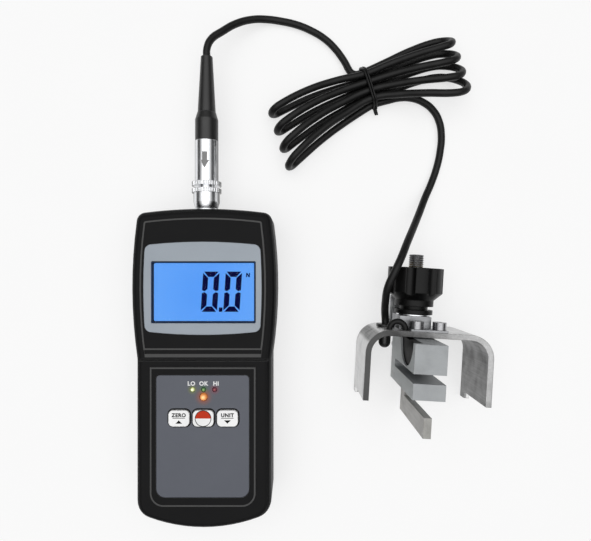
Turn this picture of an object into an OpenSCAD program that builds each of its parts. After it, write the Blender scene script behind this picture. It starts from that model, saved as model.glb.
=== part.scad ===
// Contact belt tension meter: handset, plug, tied cord and clamp probe, laid flat on a table.
// Millimetres. X runs across the handset, Y towards its plug, Z up from the table.
// The origin is the centre of the handset's back face.

/* [Handset case] */
// Widest width of the case, beside the display
case_w = 66.4; // [62:0.2:70]
// Inward run of each side, from the widest point to the waist
waist_in = 2.4; // [1.5:0.1:3]
// Length of the case
case_l = 146.2; // [130:0.5:158]
// Thickness of the case, from the back to the raised faces
case_t = 28; // [27:0.5:32]
// Height of the joint between the two shells
split_z = 14; // [13.5:0.1:14.5]
// Thickness of the side walls
wall = 2.2; // [1.6:0.1:2.6]
// Thickness of the back wall
back_wall = 2.4; // [2.3:0.1:2.8]
// Thickness of the front face
face_t = 2.8; // [2.4:0.1:3.2]
// Height of the widest point above the middle of the case
widest_y = 37; // [34:0.5:40]
// Height of the waist above the middle of the case
waist_y = 4; // [3.5:0.1:4.5]
// Rise of the curved top end
top_bow = 2.2; // [1:0.1:3]
// Drop of the curved bottom end
bottom_bow = 6.9; // [5:0.1:8]
// Radius of the top corners
top_corner = 4.5; // [3:0.1:6]
// Radius of the bottom corners
bottom_corner = 8.5; // [6:0.1:10]
// Height of the sloped front edge
edge_h = 4.5; // [3:0.1:5]
// Inward run of the sloped front edge
edge_in = 3; // [2:0.1:3.5]
// Height of the sloped back edge
back_edge_h = 3; // [2:0.1:4]
// Inward run of the sloped back edge
back_edge_in = 2; // [1:0.1:2.4]
// Height of the raised faces
face_step = 0.8; // [0.5:0.1:1]
// Margin of the raised face round the display
upper_margin = 4.7; // [4:0.1:5]
// Margin of the raised face round the keys
lower_margin = 7; // [5:0.1:7.5]
// Width of the groove across the waist
groove_w = 0.9; // [0.5:0.1:1.5]
// Depth of the groove across the waist
groove_d = 0.9; // [0.5:0.1:1.2]

/* [Display] */
// Margin of the silver bezel inside the widest sides
bezel_side = 6.6; // [5.6:0.1:7]
// Length of the silver bezel
bezel_l = 41.9; // [40:0.1:42.5]
// Middle of the bezel below the top of the case
bezel_drop = 36.5; // [35:0.1:36.8]
// Rise of the bezel's bowed ends
bezel_bow = 1.6; // [0.8:0.1:2.2]
// Depth of the bezel's seat
bezel_seat = 0.8; // [0.5:0.1:1]
// Height of the bezel above the raised face
bezel_rise = 0.5; // [0.2:0.1:0.8]
// Width of the bezel beside the window
window_side = 3.2; // [3:0.1:4.5]
// Length of the display window
window_l = 27.6; // [26:0.1:28.4]
// Middle of the window below the middle of the bezel
window_drop = 1.8; // [1.2:0.1:2]
// Width of the lip that carries the window
window_lip = 0.6; // [0.5:0.1:1.4]
// Thickness of the display glass
lcd_t = 2.8; // [2:0.1:3]
// Overlap of the display glass behind the lip
lcd_overlap = 2; // [1.5:0.1:2.4]
// Thickness of the backlight
backlight_t = 3.4; // [2.5:0.1:3.8]

/* [Keypad] */
// Margin of the grey label inside the waist's sides
label_side = 9.9; // [9:0.1:10.5]
// Length of the grey label
label_l = 55; // [53:0.2:56]
// Upper edge of the label, from the middle of the case
label_top = -2.7; // [-4:0.1:-2.6]
// Thickness of the label
label_t = 0.5; // [0.3:0.1:0.6]
// Width of a key
key_w = 9.3; // [9:0.1:9.9]
// Length of a key
key_l = 7.2; // [7:0.1:8.5]
// Spacing of the keys
key_pitch = 10.9; // [10.9:0.1:11.6]
// Middle of the keys, from the middle of the case
key_y = -21.8; // [-23:0.1:-21.6]
// Height of a key above the label
key_rise = 1.1; // [0.8:0.1:1.6]
// Travel of a key
key_travel = 0.5; // [0.3:0.05:0.6]
// Gap all round a key
key_gap = 0.15; // [0.1:0.01:0.2]
// Diameter of the small status lamps
lamp_d = 1.9; // [1.5:0.1:2.4]
// Spacing of the small status lamps
lamp_pitch = 5; // [4.4:0.1:5.6]
// Row of the small status lamps
lamp_y = -9.1; // [-9.4:0.1:-8.6]
// Diameter of the power lamp
power_lamp_d = 3.4; // [3:0.1:3.6]
// Middle of the power lamp
power_lamp_y = -12.4; // [-13:0.1:-12.3]

/* [Board and batteries] */
// Margin of the main board inside the waist's sides
board_side = 9.2; // [8.8:0.1:10.5]
// Upper edge of the main board below the top of the case
board_drop = 18; // [16:0.5:20]
// Lower edge of the main board above the bottom of the case
board_rise = 12; // [11:0.5:16]
// Thickness of the main board
board_t = 1.6; // [1:0.1:2]
// Diameter of a cell
cell_d = 10.5; // [10:0.1:10.6]
// Length of a cell
cell_l = 44.5; // [43:0.1:45.5]
// Middle of the cells above the bottom of the case
cell_rise = 33.5; // [33:0.1:34]
// Thickness of the contact plates
contact_t = 0.5; // [0.3:0.1:0.8]
// Margin of the battery door inside the waist's sides
door_side = 8.8; // [8:0.1:9.4]
// Thickness of the battery door
door_t = 2; // [1.6:0.1:2.2]
// Upper edge of the battery door above the bottom of the case
door_rise = 59; // [58.4:0.1:60]
// Diameter of a case screw
case_screw_d = 2.5; // [2:0.1:3]

/* [Plug] */
// Diameter of the socket's barrel
socket_d = 10; // [9.6:0.1:10.4]
// Diameter of the plug's nose in the socket
nose_d = 7.5; // [7:0.1:7.8]
// Diameter of the coupling sleeve
sleeve_d = 12.5; // [12:0.1:13]
// Length of the coupling sleeve up to its ring
sleeve_l = 7.6; // [7:0.1:10]
// Diameter of the two knurled rings
ring_d = 14; // [13.2:0.1:14.4]
// Length of a knurled ring
ring_l = 2; // [1.6:0.1:2.4]
// Release travel of the coupling sleeve
sleeve_travel = 1; // [0.8:0.1:2]
// Diameter of the plug's bright body
plug_d = 11.2; // [10.6:0.1:11.8]
// Length of the plug's bright body
plug_l = 19.5; // [16:0.5:24]
// Length of the black collar
collar_l = 13.7; // [10:0.1:14.2]
// Length of the boot beyond the collar
boot_l = 26.9; // [24:0.1:27.3]
// Diameter of the boot at the collar
boot_d = 8.6; // [8:0.1:9.5]
// Diameter of the boot at its tip
boot_tip_d = 5.6; // [5:0.1:6.5]

/* [Cord] */
// Diameter of the cord
cord_d = 3.6; // [3.2:0.1:3.8]
// Free space between strands at the waist of the hank
strand_space = 0.6; // [0.5:0.05:0.8]
// Reach of a loop from the waist of the hank
loop_reach = 47.5; // [46:0.5:50]
// Radius of a loop's far bend
loop_r = 5.7; // [5.4:0.1:6]
// Loops on each side of the tie
loop_count = 4; // [3:1:4]
// Thickness of the wire tie
tie_t = 1.1; // [0.8:0.1:1.4]

/* [Bracket] */
// Width of the bracket over its legs
bracket_w = 56.9; // [52:0.5:60]
// Depth of the bracket
bracket_depth = 32; // [31.5:0.1:34]
// Thickness of the bracket's sheet
sheet_t = 2.5; // [2:0.1:3]
// Outer radius of the bracket's bends
bend_r = 10.5; // [8:0.1:12]
// Height of the bracket over its legs
bracket_h = 31.6; // [30:0.1:36]
// Length of the tab at the back of each leg
tab_l = 3.1; // [2:0.1:5]
// Depth of the tab at the back of each leg
tab_depth = 5; // [4:0.1:8]

/* [Knob and stud] */
// Diameter of the knob over its lobes
knob_d = 25.7; // [24:0.1:26.5]
// Lobes of the knob
knob_lobes = 8; // [6:1:10]
// Height of the knob's fluted head
knob_head_h = 11.6; // [10:0.1:14]
// Height of the slope below the head
knob_slope_h = 3.5; // [2.4:0.1:4]
// Height of the neck below the slope
knob_neck_h = 2.8; // [2:0.1:4]
// Height of the groove below the neck
knob_groove_h = 1.8; // [1.5:0.1:2.5]
// Height of the flange at the knob's foot
knob_flange_h = 2; // [1.5:0.1:2.5]
// Diameter of the neck
knob_neck_d = 18; // [16.5:0.1:19]
// Diameter of the flange
knob_flange_d = 17.6; // [16.5:0.1:19]
// Diameter of the knob's threaded insert
insert_d = 10; // [9:0.1:11]
// Diameter of the stud
stud_d = 7; // [6:0.5:7.5]
// Length of the stud above the knob
stud_proud = 6.2; // [4:0.1:8]
// Depth of the stud's seat in the load cell
stud_seat = 10; // [8:0.1:11]
// Thickness of the washer
washer_t = 0.6; // [0.4:0.1:1]
// Width of the guide block
block_w = 14.4; // [13:0.1:14.8]
// Height of the guide block
block_h = 6.2; // [5:0.1:7]
// Thickness of the guide block's foot
foot_t = 1; // [0.8:0.1:1.5]
// Diameter of the foot's cap screws
foot_screw_d = 3.5; // [3:0.5:4]

/* [Load cell and hook] */
// Width of the load cell
cell_block_w = 13.5; // [13:0.1:14]
// Depth of the load cell, front to back
cell_block_depth = 44; // [43:0.1:46]
// Height of the upper arm
upper_arm_h = 12.2; // [12:0.1:14]
// Height of the slot between the arms
arm_slot = 3.9; // [2.5:0.1:4.5]
// Height of the lower arm
lower_arm_h = 6.7; // [6.3:0.1:9]
// Depth of the web that joins the arms
web_depth = 10; // [9:0.1:13]
// Radius of the gauge pocket
pocket_r = 11.5; // [10:0.1:11.6]
// Depth of the gauge pocket
pocket_depth = 4; // [3:0.1:5]
// Width of the guide tongue
tongue_w = 18; // [14:0.1:19]
// Thickness of the guide tongue
tongue_t = 2.5; // [2:0.1:3]
// Thickness of the hook blade
blade_t = 3.3; // [3:0.1:5]
// Height of the hook blade
blade_h = 8.4; // [8:0.1:12]
// Gap between the hook blade and the lower arm, where the belt goes
blade_gap = 7; // [4.5:0.1:8]
// Travel of the hook below its top stop
hook_travel = 8; // [6:0.5:9]

/* [Clearances] */
// Gap of fixed pieces that fit into each other
fit_gap = 0.05; // [0.02:0.01:0.1]
// Gap of pieces that slide or turn in each other
run_gap = 0.06; // [0.05:0.01:0.1]
// Gap of covers and trim in their seats
seat_gap = 0.15; // [0.1:0.01:0.25]
// Gap of the hook's top stop below the plate
stop_gap = 0.5; // [0.2:0.05:0.5]

/* [Hidden] */
$fn = 48;
arc_fn = 240;
cut = 1;
over = 0.01;

// Handset
top_y = case_l / 2;
waist_w = case_w - 2 * waist_in;
side_r = arc_radius(widest_y - waist_y, (case_w - waist_w) / 2);
top_r = arc_radius(waist_w / 2, top_bow);
bottom_r = arc_radius(waist_w / 2, bottom_bow);
least_corner = 1;
end_steps = 6;
corner_steps = 6;
side_steps = 8;
edge_steps = 4;
face_z = case_t;
base_z = case_t - face_step;
edge_z = base_z - edge_h;
ceiling_z = case_t - face_t;
upper_face_y = 8.8;
lower_face_y = 0.9;
ledge_y = 5.4;
ledge_step = 0.4;
post_d = 6;
post_x = waist_w / 2 - wall - post_d / 2;
post_top_y = top_y - 10.5;
post_bottom_y = door_rise - top_y + 5.5;
post_places = [for (x = [-post_x, post_x], y = [post_top_y, post_bottom_y]) [x, y]];
screw_head_d = 4.6;
screw_head_h = 1.6;
screw_head_z = 1.2;
screw_tip_z = 22;
screw_slot_l = 2.8;
screw_slot_w = 0.6;

// Display, board and keys, stacked down from the front face
bezel_w = case_w - 2 * bezel_side;
bezel_y = top_y - bezel_drop;
window_w = bezel_w - 2 * window_side;
window_y = bezel_y - window_drop;
face_x = 0.4;
label_w = waist_w - 2 * label_side;
board_w = waist_w - 2 * board_side;
board_top = top_y - board_drop;
board_bottom = board_rise - top_y;
lcd_z = ceiling_z - lcd_t;
backlight_z = lcd_z - backlight_t;
board_z = backlight_z - board_t;
lcd_plate_z = face_z - bezel_seat - seat_gap;
lcd_w = window_w + 2 * (lcd_overlap - window_lip);
lcd_l = window_l + 2 * (lcd_overlap - window_lip);
peg_d = 4;
peg_x = 17;
peg_ys = [10, -45];
window_corner = 0.6;
window_sunk = 0.1;
bezel_corner = 3;
bezel_r = arc_radius(bezel_w / 2, bezel_bow);
bezel_side_bow = 0.8;
bezel_side_r = arc_radius(bezel_l / 2, bezel_side_bow);
label_corner = 4;
label_rim = 2.9;
label_drop = 4.2;
lower_face_corner = 6;
lower_face_l = label_l + 4 * lower_face_corner;
label_top_corner = 1.6;
lamp_dome = 0.3;
key_corner = 2;
key_flange = 0.4;
key_flange_t = 0.9;
key_low_z = ceiling_z - seat_gap - key_flange_t;
switch_w = 6;
switch_h = 3.4;
plunger_d = 3.4;
plunger_z = key_low_z - key_travel - seat_gap;
chips = [[-12, 2, 10, 10, 1.6], [8, 4, 12, 7, 1.4], [0, -45, 9, 9, 1.6], [9, -50, 7, 4, 1.2]];

// Batteries
cell_count = 4;
cell_y = cell_rise - top_y;
door_w = waist_w - 2 * door_side;
door_top = door_rise - top_y;
cell_pitch = cell_d + 0.4;
cell_z = back_wall + seat_gap + cell_d / 2;
cell_nub_d = 3.6;
cell_nub_l = 0.8;
rib_t = 1.6;
rib_top_z = split_z - 0.4;
rib_bottom_z = back_wall + seat_gap;
contact_w = 8.6;
contact_h = 7;
door_lip_t = 0.9;
door_tongue = 1.2;

// Plug, along Y from the top of the case
flange_d = 12;
flange_t = 0.8;
nut_d = 14;
nut_t = 2.5;
socket_back = 9;
nose_y = top_y - socket_back + 1.7;
pin_d = 0.9;
pin_ring_r = 1.5;
pin_l = 4;
insert_l = 14;
sleeve_cone_d = 10.6;
sleeve_cone_l = 3.2;
plug_x = -0.8;
sleeve_y = top_y + flange_t + seat_gap;
ring_y = sleeve_y + sleeve_l;
body_y = ring_y + ring_l + sleeve_travel + 2 * seat_gap;
collar_y = body_y + ring_l + plug_l;
collar_d = plug_d - 0.2;
boot_y = collar_y + collar_l;
collar_taper_l = 3.4;
collar_top_d = boot_d + 0.4;
spigot_d = 6;
arrow_l = 7.7;
arrow_w = 4;
arrow_head = 3.6;
arrow_stem = 2.3;
arrow_d = 0.5;
boot_tip_y = boot_y + boot_l;
insert_bore_d = nose_d - 2;
knurl_count = 36;
knurl_d = 0.7;

// Cord routes, from the plug to the hank and from the hank to the probe
lead_points = [[-0.8, 150.7, 14], [0.9, 155.6, 13.4], [6.5, 161.2, 11], [13, 166.5, 8], [20.5, 170, 5],
    [27.5, 171.2, 2.8], [34.5, 170.8, 1.8], [42.4, 169, 1.8], [49.8, 166, 1.8], [56.6, 161.9, 1.8],
    [61.8, 157, 1.8], [65, 152.8, 1.9], [67.2, 149.2, 2.1], [68.5, 146.4, 2.5], [69.9, 144.3, 2.9],
    [71.7, 143.3, 3.1]];
tail_points = [[88.5, 130.4, 2.6], [94.4, 131.9, 2], [100.8, 131.8, 1.8], [106.8, 129.6, 1.8],
    [111.6, 125.6, 1.8], [114.6, 120, 1.8], [115.7, 113, 1.8], [115.1, 105, 1.8], [113.4, 97, 1.8],
    [110.6, 89, 2.2], [106.8, 81, 4], [102.8, 73, 8.5], [98.2, 65, 15], [93.7, 57.5, 21.5],
    [90, 50.5, 26], [86.7, 44, 27.6], [83.9, 37, 26], [83.7, 30, 21], [84.2, 25, 17.2], [84.6, 22, 16]];
tube_sides = 8;
hank_sides = 6;

// Hank: strands lie in two rows at the waist and fan out into leaning loops, each pair left then right
hank_x = 78.5;
hank_y = 136.2;
hank_turn = 17.5;
strand_pitch = cord_d + strand_space;
waist_half = strand_pitch / 2;
waist_lean = 60;
tip_lean = [87, 57];
lean_growth = [-1.4, -4];
fan = [1.2, 0.8];
wing_sag = [10, 4.6];
reach_more = [2.8, -2.7];
bend_more = [-1, 1];
bend_growth = [0.35, 0.95];
waist_lift = tie_t + 0.2;
lift_run = 18;
waist_run = 1;
join_run = 1.2;
waist_top_v = strand_pitch * loop_count / 2;
run_marks = [1 / 3, 2 / 3];
bend_marks = [for (a = [0 : 30 : 180]) a];
tie_w = 1.3;
tie_gap = 0.15;

// Probe, centred on the stud's axis
probe_x = 97.5;
probe_turn = 3.3;
axis_z = bracket_depth / 2;
plate_y = 17.3;
bracket_x = probe_x + 4.4;
under_y = plate_y - sheet_t;
leg_y = plate_y - bracket_h;
block_y = plate_y;
washer_y = block_y + block_h + fit_gap;
knob_y = washer_y + washer_t + run_gap;
groove_top_y = knob_flange_h + knob_groove_h;
neck_top_y = groove_top_y + knob_neck_h;
head_y = neck_top_y + knob_slope_h;
knob_h = head_y + knob_head_h;
knob_groove_d = 13;
flute_d = 5.5;
flute_in = 1.3;
washer_d = 16;
stud_low_y = under_y - stop_gap - stud_seat;
stud_l = knob_y + knob_h + stud_proud - stud_low_y;
block_depth = 17;
block_x = probe_x - 0.9;
foot_x = probe_x - 4.3;
foot_w = 16.5;
foot_depth = 7;
foot_screw_z = axis_z + block_depth / 2 + foot_depth / 2;
foot_screw_xs = [probe_x - 1.1, probe_x + 9.1];
foot_head_d = 1.75 * foot_screw_d;
foot_key_d = 0.75 * foot_screw_d;
grommet_x = probe_x - 12.9;
grommet_d = 6.4;
grommet_flange_d = 8.6;
grommet_flange_t = 1.2;
grommet_bulb_d = 5.6;
grommet_end_y = plate_y - 10.1;
lead_wire_d = 2.6;
lead_arch_r = 3.6;
lead_arch_x = probe_x - 9.5;
lead_arch_z = 27;
lead_arch_y = plate_y + 0.1;

cell_top_y = under_y - stop_gap;
arm_y = cell_top_y - upper_arm_h;
slot_y = arm_y - arm_slot;
cell_low_y = slot_y - lower_arm_h;
cell_back_z = 5;
cell_front_z = cell_back_z + cell_block_depth;
cell_left_x = probe_x - cell_block_w / 2;
web_z = cell_back_z + web_depth;
pocket_z = 34.5;
pocket_y = cell_top_y;
potting_sink = 0.8;
tongue_back_z = cell_back_z - tongue_t - fit_gap;
tongue_low_y = cell_top_y - 11;
tongue_root_w = 12.5;
tongue_wide_y = under_y + seat_gap;
tongue_spare = 6.5;
tongue_top_y = plate_y + hook_travel + tongue_spare;
tongue_screw_d = 2.5;
tongue_screw_l = 6;
tongue_head_d = 4.6;
tongue_head_h = 1.6;
tongue_screw_xs = [probe_x - 4, probe_x + 4];
tongue_screw_y = cell_top_y - 7;
blade_x = probe_x;
blade_top_y = cell_low_y - blade_gap;
blade_back_z = cell_back_z + 2;
blade_leg = 7.5;
blade_root = 5.5;
blade_pin_d = 1.6;
blade_pin_step = 2;
blade_pin_z = blade_back_z + blade_leg / 2;
blade_pin_y = cell_low_y + blade_root / 2;
thread_pitch = 1;
thread_d = 0.45;
thread_turns = floor(stud_proud / thread_pitch);
thread_low = stud_l - thread_d - thread_turns * thread_pitch;

black_plastic = "#1d1d1f";
chrome = "#c9ccd0";
aluminium = "#a9adb1";
steel = "#8d8a84";
rubber = "#161616";

// Radius of an arc that rises by bow over twice a half width
function arc_radius(half, bow) = (half * half + bow * bow) / (2 * bow);
function smooth(t) = let (s = min(max(t, 0), 1)) s * s * (3 - 2 * s);
function unit(v) = v / norm(v);
function sum(list, i = 0) = i >= len(list) ? 0 : list[i] + sum(list, i + 1);

// Case outline, inset from the outside: arcs that meet in rounded corners, right half from the bottom up
function arc_points(centre, r, from, to, first, steps) =
    [for (i = [first : steps]) let (a = from + (to - from) * i / steps) centre + r * [cos(a), sin(a)]];
function direction(v) = atan2(v[1], v[0]);
function circles_meet(c1, r1, c2, r2) =
    let (d = norm(c2 - c1), along = (r1 * r1 - r2 * r2 + d * d) / (2 * d), e = (c2 - c1) / d)
    c1 + along * e + sqrt(r1 * r1 - along * along) * [-e[1], e[0]];
function half_case_points(inset) =
    let (half = waist_w / 2 - inset,
        low = [0, bottom_r - top_y], low_r = bottom_r - inset,
        low_k = max(bottom_corner - inset, least_corner),
        low_f = [half - low_k, low[1] - sqrt(pow(low_r - low_k, 2) - pow(half - low_k, 2))],
        low_a = direction(low_f - low),
        side = [case_w / 2 - side_r, widest_y], r = side_r - inset,
        high = [0, top_y - top_r], high_r = top_r - inset, high_k = max(top_corner - inset, least_corner),
        high_f = circles_meet(side, r - high_k, high, high_r - high_k),
        side_a = direction(high_f - side), high_a = direction(high_f - high),
        waist_a = asin((waist_y - widest_y) / side_r))
    concat(arc_points(low, low_r, -90, low_a, 0, end_steps),
        arc_points(low_f, low_k, low_a, 0, 1, corner_steps),
        arc_points(side, r, waist_a, side_a, 0, side_steps),
        arc_points(high_f, high_k, side_a, high_a, 1, corner_steps),
        arc_points(high, high_r, high_a, 90, 1, end_steps));
function case_points(inset) =
    let (right = half_case_points(inset), n = len(right))
    concat(right, [for (i = [n - 2 : -1 : 1]) [-right[i][0], right[i][1]]]);

// Solid through the case outline at several heights. Each level is a height and an inset
function level_points(levels) = [for (l = levels) for (p = case_points(l[1])) [p[0], p[1], l[0]]];
function edge_levels(z, h, inward) =
    [for (i = [0 : edge_steps]) let (a = 90 * i / edge_steps) [z + h * sin(a), inward * (1 - cos(a))]];

// Place of a battery cell in its row
function cell_x(i) = (i - (cell_count - 1) / 2) * cell_pitch;

// Tube along a path: rings square to the path, side faces and two end faces
function path_dir(p, i) = i == 0 ? unit(p[1] - p[0])
    : i == len(p) - 1 ? unit(p[i] - p[i - 1])
    : unit(unit(p[i + 1] - p[i]) + unit(p[i] - p[i - 1]));
function ring_points(at, dir, r, sides) =
    let (side = unit(cross(dir, [0, 0, 1])), up = cross(side, dir))
    [for (k = [0 : sides - 1]) let (a = 360 * (k + 0.5) / sides) at + r * (cos(a) * side + sin(a) * up)];
function tube_points(p, r, sides) =
    [for (i = [0 : len(p) - 1]) each ring_points(p[i], path_dir(p, i), r, sides)];
function tube_faces(rings, sides) = [
    for (i = [0 : rings - 2], k = [0 : sides - 1])
        let (a = i * sides + k, b = i * sides + (k + 1) % sides)
        each [[a, a + sides, b], [b, a + sides, b + sides]],
    for (k = [1 : sides - 2]) [0, k, k + 1],
    for (k = [1 : sides - 2]) let (e = (rings - 1) * sides) [e, e + k + 1, e + k]
];
function path_length(p) = sum([for (i = [1 : len(p) - 1]) norm(p[i] - p[i - 1])]);

// Loop j of the hank. side is 1 on the right and 0 on the left, mid is its middle at the waist
function wing(side) = side > 0 ? 1 : -1;
function far_end(side) = loop_reach + reach_more[side];
function bend_r(side, j) = loop_r + bend_more[side] + bend_growth[side] * j;
function loop_run(side, j) = far_end(side) - bend_r(side, j);
function loop_lean(side, j, share) =
    waist_lean + (tip_lean[side] + lean_growth[side] * j - waist_lean) * smooth(share);
function loop_half(r, share) = waist_half + (r - waist_half) * smooth(share);
function loop_low_z(a) = cord_d / 2 + waist_lift * (1 - smooth(a / lift_run));
function loop_point(side, j, mid, a, across, half) =
    let (lean = loop_lean(side, j, a / loop_run(side, j)), share = a / far_end(side))
    [wing(side) * a,
     mid * (1 + fan[side] * share) - wing_sag[side] * share * share - wing(side) * across * cos(lean),
     loop_low_z(a) + (half + across) * sin(lean)];
function loop_bend(side, j, mid) =
    [for (b = bend_marks)
        let (r = bend_r(side, j))
        loop_point(side, j, mid, loop_run(side, j) + r * sin(b), -wing(side) * r * cos(b), r)];
function loop_leg(side, j, mid, going) =
    [for (m = going > 0 ? run_marks : [run_marks[1], run_marks[0]])
        let (half = loop_half(bend_r(side, j), m))
        loop_point(side, j, mid, m * loop_run(side, j), -going * wing(side) * half, half)];
function waist_low(v) = [0, v, loop_low_z(0)];
function waist_high(v) = [0, v, loop_low_z(0) + 2 * waist_half * sin(waist_lean)];
function loop(side, j, mid) =
    concat(loop_leg(side, j, mid, 1), loop_bend(side, j, mid), loop_leg(side, j, mid, -1));
hank_path = concat(
    [waist_low(waist_top_v) - [waist_run, 0, 0]],
    [for (j = [0 : loop_count - 1])
        let (v = waist_top_v - j * strand_pitch)
        each concat([waist_low(v)], loop(1, j, v - strand_pitch / 4),
            [waist_high(v - strand_pitch / 2)], loop(0, j, v - 3 * strand_pitch / 4))],
    [waist_low(-waist_top_v), waist_low(-waist_top_v) + [waist_run, 0, 0]]);
function from_hank(p) = [hank_x + p[0] * cos(hank_turn) - p[1] * sin(hank_turn),
    hank_y + p[0] * sin(hank_turn) + p[1] * cos(hank_turn), p[2]];
function from_probe(p) = let (d = p - [probe_x, plate_y, 0])
    [probe_x + d[0] * cos(probe_turn) + d[1] * sin(probe_turn),
     plate_y - d[0] * sin(probe_turn) + d[1] * cos(probe_turn), d[2]];
hank_join = join_run * [cos(hank_turn), sin(hank_turn), 0];
function hank_end(i) = from_hank(hank_path[i < 0 ? len(hank_path) + i : i]);
lead_path = concat([[plug_x, boot_tip_y, split_z]], lead_points, [hank_end(0) - hank_join, hank_end(0)]);
grommet_top = from_probe([grommet_x, plate_y + grommet_flange_t, axis_z]);
tail_path = concat([hank_end(-1), hank_end(-1) + hank_join], tail_points, [grommet_top]);

// Least gap of the hank's tube to itself, measured between points along stretches that aren't neighbours
gap_steps = 6;
gap_skip = 3;
hank_marks = [for (i = [0 : len(hank_path) - 2], s = [0 : gap_steps - 1])
    hank_path[i] + (hank_path[i + 1] - hank_path[i]) * s / gap_steps];
hank_gap = min([for (i = [0 : len(hank_marks) - 1])
    for (k = [i + gap_skip * gap_steps : 1 : len(hank_marks) - 1])
        norm(hank_marks[i] - hank_marks[k])]) - cord_d;
echo(hank_gap = hank_gap, lead = path_length(lead_path), hank = path_length(hank_path),
    tail = path_length(tail_path));

// Two-dimensional outlines
module rounded_rect(w, l, r) {
    square([w - 2 * r, l], center = true);
    square([w, l - 2 * r], center = true);
    for (x = [-1, 1], y = [-1, 1])
        translate([x * (w / 2 - r), y * (l / 2 - r)]) circle(r);
}

module round_corners(r) {
    offset(r = r) offset(delta = -r) children();
}

module above(y) {
    translate([-case_w, y]) square([2 * case_w, case_l]);
}

module below(y) {
    translate([-case_w, y - case_l]) square([2 * case_w, case_l]);
}

module case_outline(inset = 0) {
    polygon(case_points(inset));
}

module bezel_outline(grow = 0) {
    translate([0, bezel_y]) offset(delta = grow) round_corners(bezel_corner) intersection() {
        square([bezel_w, bezel_l], center = true);
        translate([0, bezel_l / 2 - bezel_r]) circle(bezel_r, $fn = arc_fn);
        translate([0, bezel_r - bezel_l / 2]) circle(bezel_r, $fn = arc_fn);
        translate([bezel_w / 2 - bezel_side_r, 0]) circle(bezel_side_r, $fn = arc_fn);
        translate([bezel_side_r - bezel_w / 2, 0]) circle(bezel_side_r, $fn = arc_fn);
    }
}

module window_outline(grow = 0) {
    translate([face_x, window_y]) rounded_rect(window_w + 2 * grow, window_l + 2 * grow, window_corner);
}

module label_outline(grow = 0) {
    translate([0, label_top - label_l / 2]) {
        rounded_rect(label_w + 2 * grow, label_l + 2 * grow, label_corner);
        translate([0, label_l / 4])
            rounded_rect(label_w + 2 * grow, label_l / 2 + 2 * grow, label_top_corner);
    }
}

module key_outline(i, grow = 0) {
    translate([face_x + i * key_pitch, key_y]) rounded_rect(key_w + 2 * grow, key_l + 2 * grow, key_corner);
}

module keypad_holes(grow) {
    for (i = [-1 : 1]) {
        key_outline(i, key_gap);
        translate([face_x + i * lamp_pitch, lamp_y]) circle(d = lamp_d + 2 * grow);
    }
    translate([face_x, power_lamp_y]) circle(d = power_lamp_d + 2 * grow);
}

// Placing
module slab(z, h) {
    translate([0, 0, z]) linear_extrude(h) children();
}

module along_y(x, y, z) {
    translate([x, y, z]) rotate([-90, 0, 0]) children();
}

module on_plug(y) {
    along_y(plug_x, y, split_z) children();
}

module on_probe() {
    translate([probe_x, plate_y, 0]) rotate(-probe_turn) translate([-probe_x, -plate_y, 0]) children();
}

module on_stud(y) {
    along_y(probe_x, y, axis_z) children();
}

module across_x(x, w) {
    translate([x + w / 2, 0, 0]) rotate([0, -90, 0]) linear_extrude(w) children();
}

module at_posts() {
    for (p = post_places) translate(p) children();
}

// Handset shells
module case_body(levels) {
    sides = len(case_points(0));
    polyhedron(level_points(levels), tube_faces(len(levels), sides));
}

module front_outer() {
    case_body(concat([[split_z, 0]], edge_levels(edge_z, edge_h, edge_in)));
    slab(base_z - groove_d, face_step + groove_d) intersection() {
        case_outline(upper_margin);
        above(upper_face_y);
    }
    slab(base_z - groove_d, ledge_step + groove_d) intersection() {
        case_outline(upper_margin);
        above(ledge_y);
        below(upper_face_y + over);
    }
    slab(base_z - groove_d, face_step + groove_d) intersection() {
        case_outline(lower_margin);
        below(lower_face_y);
        translate([0, label_top - label_l - label_drop + lower_face_l / 2])
            rounded_rect(label_w + 2 * label_rim, lower_face_l, lower_face_corner);
    }
}

module front_cuts() {
    slab(face_z - bezel_seat, cut) bezel_outline(seat_gap);
    slab(split_z, case_t) window_outline(-window_lip);
    slab(face_z - label_t, cut) label_outline(seat_gap);
    slab(split_z, case_t) keypad_holes(seat_gap);
    translate([-case_w, waist_y - groove_w / 2, base_z - groove_d]) cube([2 * case_w, groove_w, case_t]);
    at_posts() translate([0, 0, split_z - cut])
        cylinder(d = case_screw_d + 2 * fit_gap, h = screw_tip_z - split_z + cut + seat_gap);
    socket_hole();
}

module socket_hole() {
    on_plug(top_y - 2 * wall) cylinder(d = socket_d + 2 * fit_gap, h = 2 * wall + cut);
}

module front_shell() {
    color(black_plastic) difference() {
        union() {
            difference() {
                front_outer();
                slab(split_z - cut, edge_z - split_z + cut) case_outline(wall);
                slab(split_z - cut, ceiling_z - split_z + cut) case_outline(wall + edge_in);
            }
            at_posts() translate([0, 0, split_z]) cylinder(d = post_d, h = ceiling_z - split_z + over);
            for (x = [-peg_x, peg_x], y = peg_ys)
                translate([x, y, backlight_z]) cylinder(d = peg_d, h = ceiling_z - backlight_z + over);
        }
        front_cuts();
    }
}

module rear_outer() {
    back_levels = edge_levels(back_edge_h, -back_edge_h, back_edge_in);
    case_body(concat([for (i = [edge_steps : -1 : 0]) back_levels[i]], [[split_z, 0]]));
}

module rib(y) {
    slab(rib_bottom_z, rib_top_z - rib_bottom_z) intersection() {
        case_outline(wall / 2);
        translate([-case_w, y]) square([2 * case_w, rib_t]);
    }
}

module door_block(half, z, gap) {
    translate([-half - gap, -case_l, z]) cube([2 * (half + gap), case_l + door_top + gap, case_t]);
}

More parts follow.
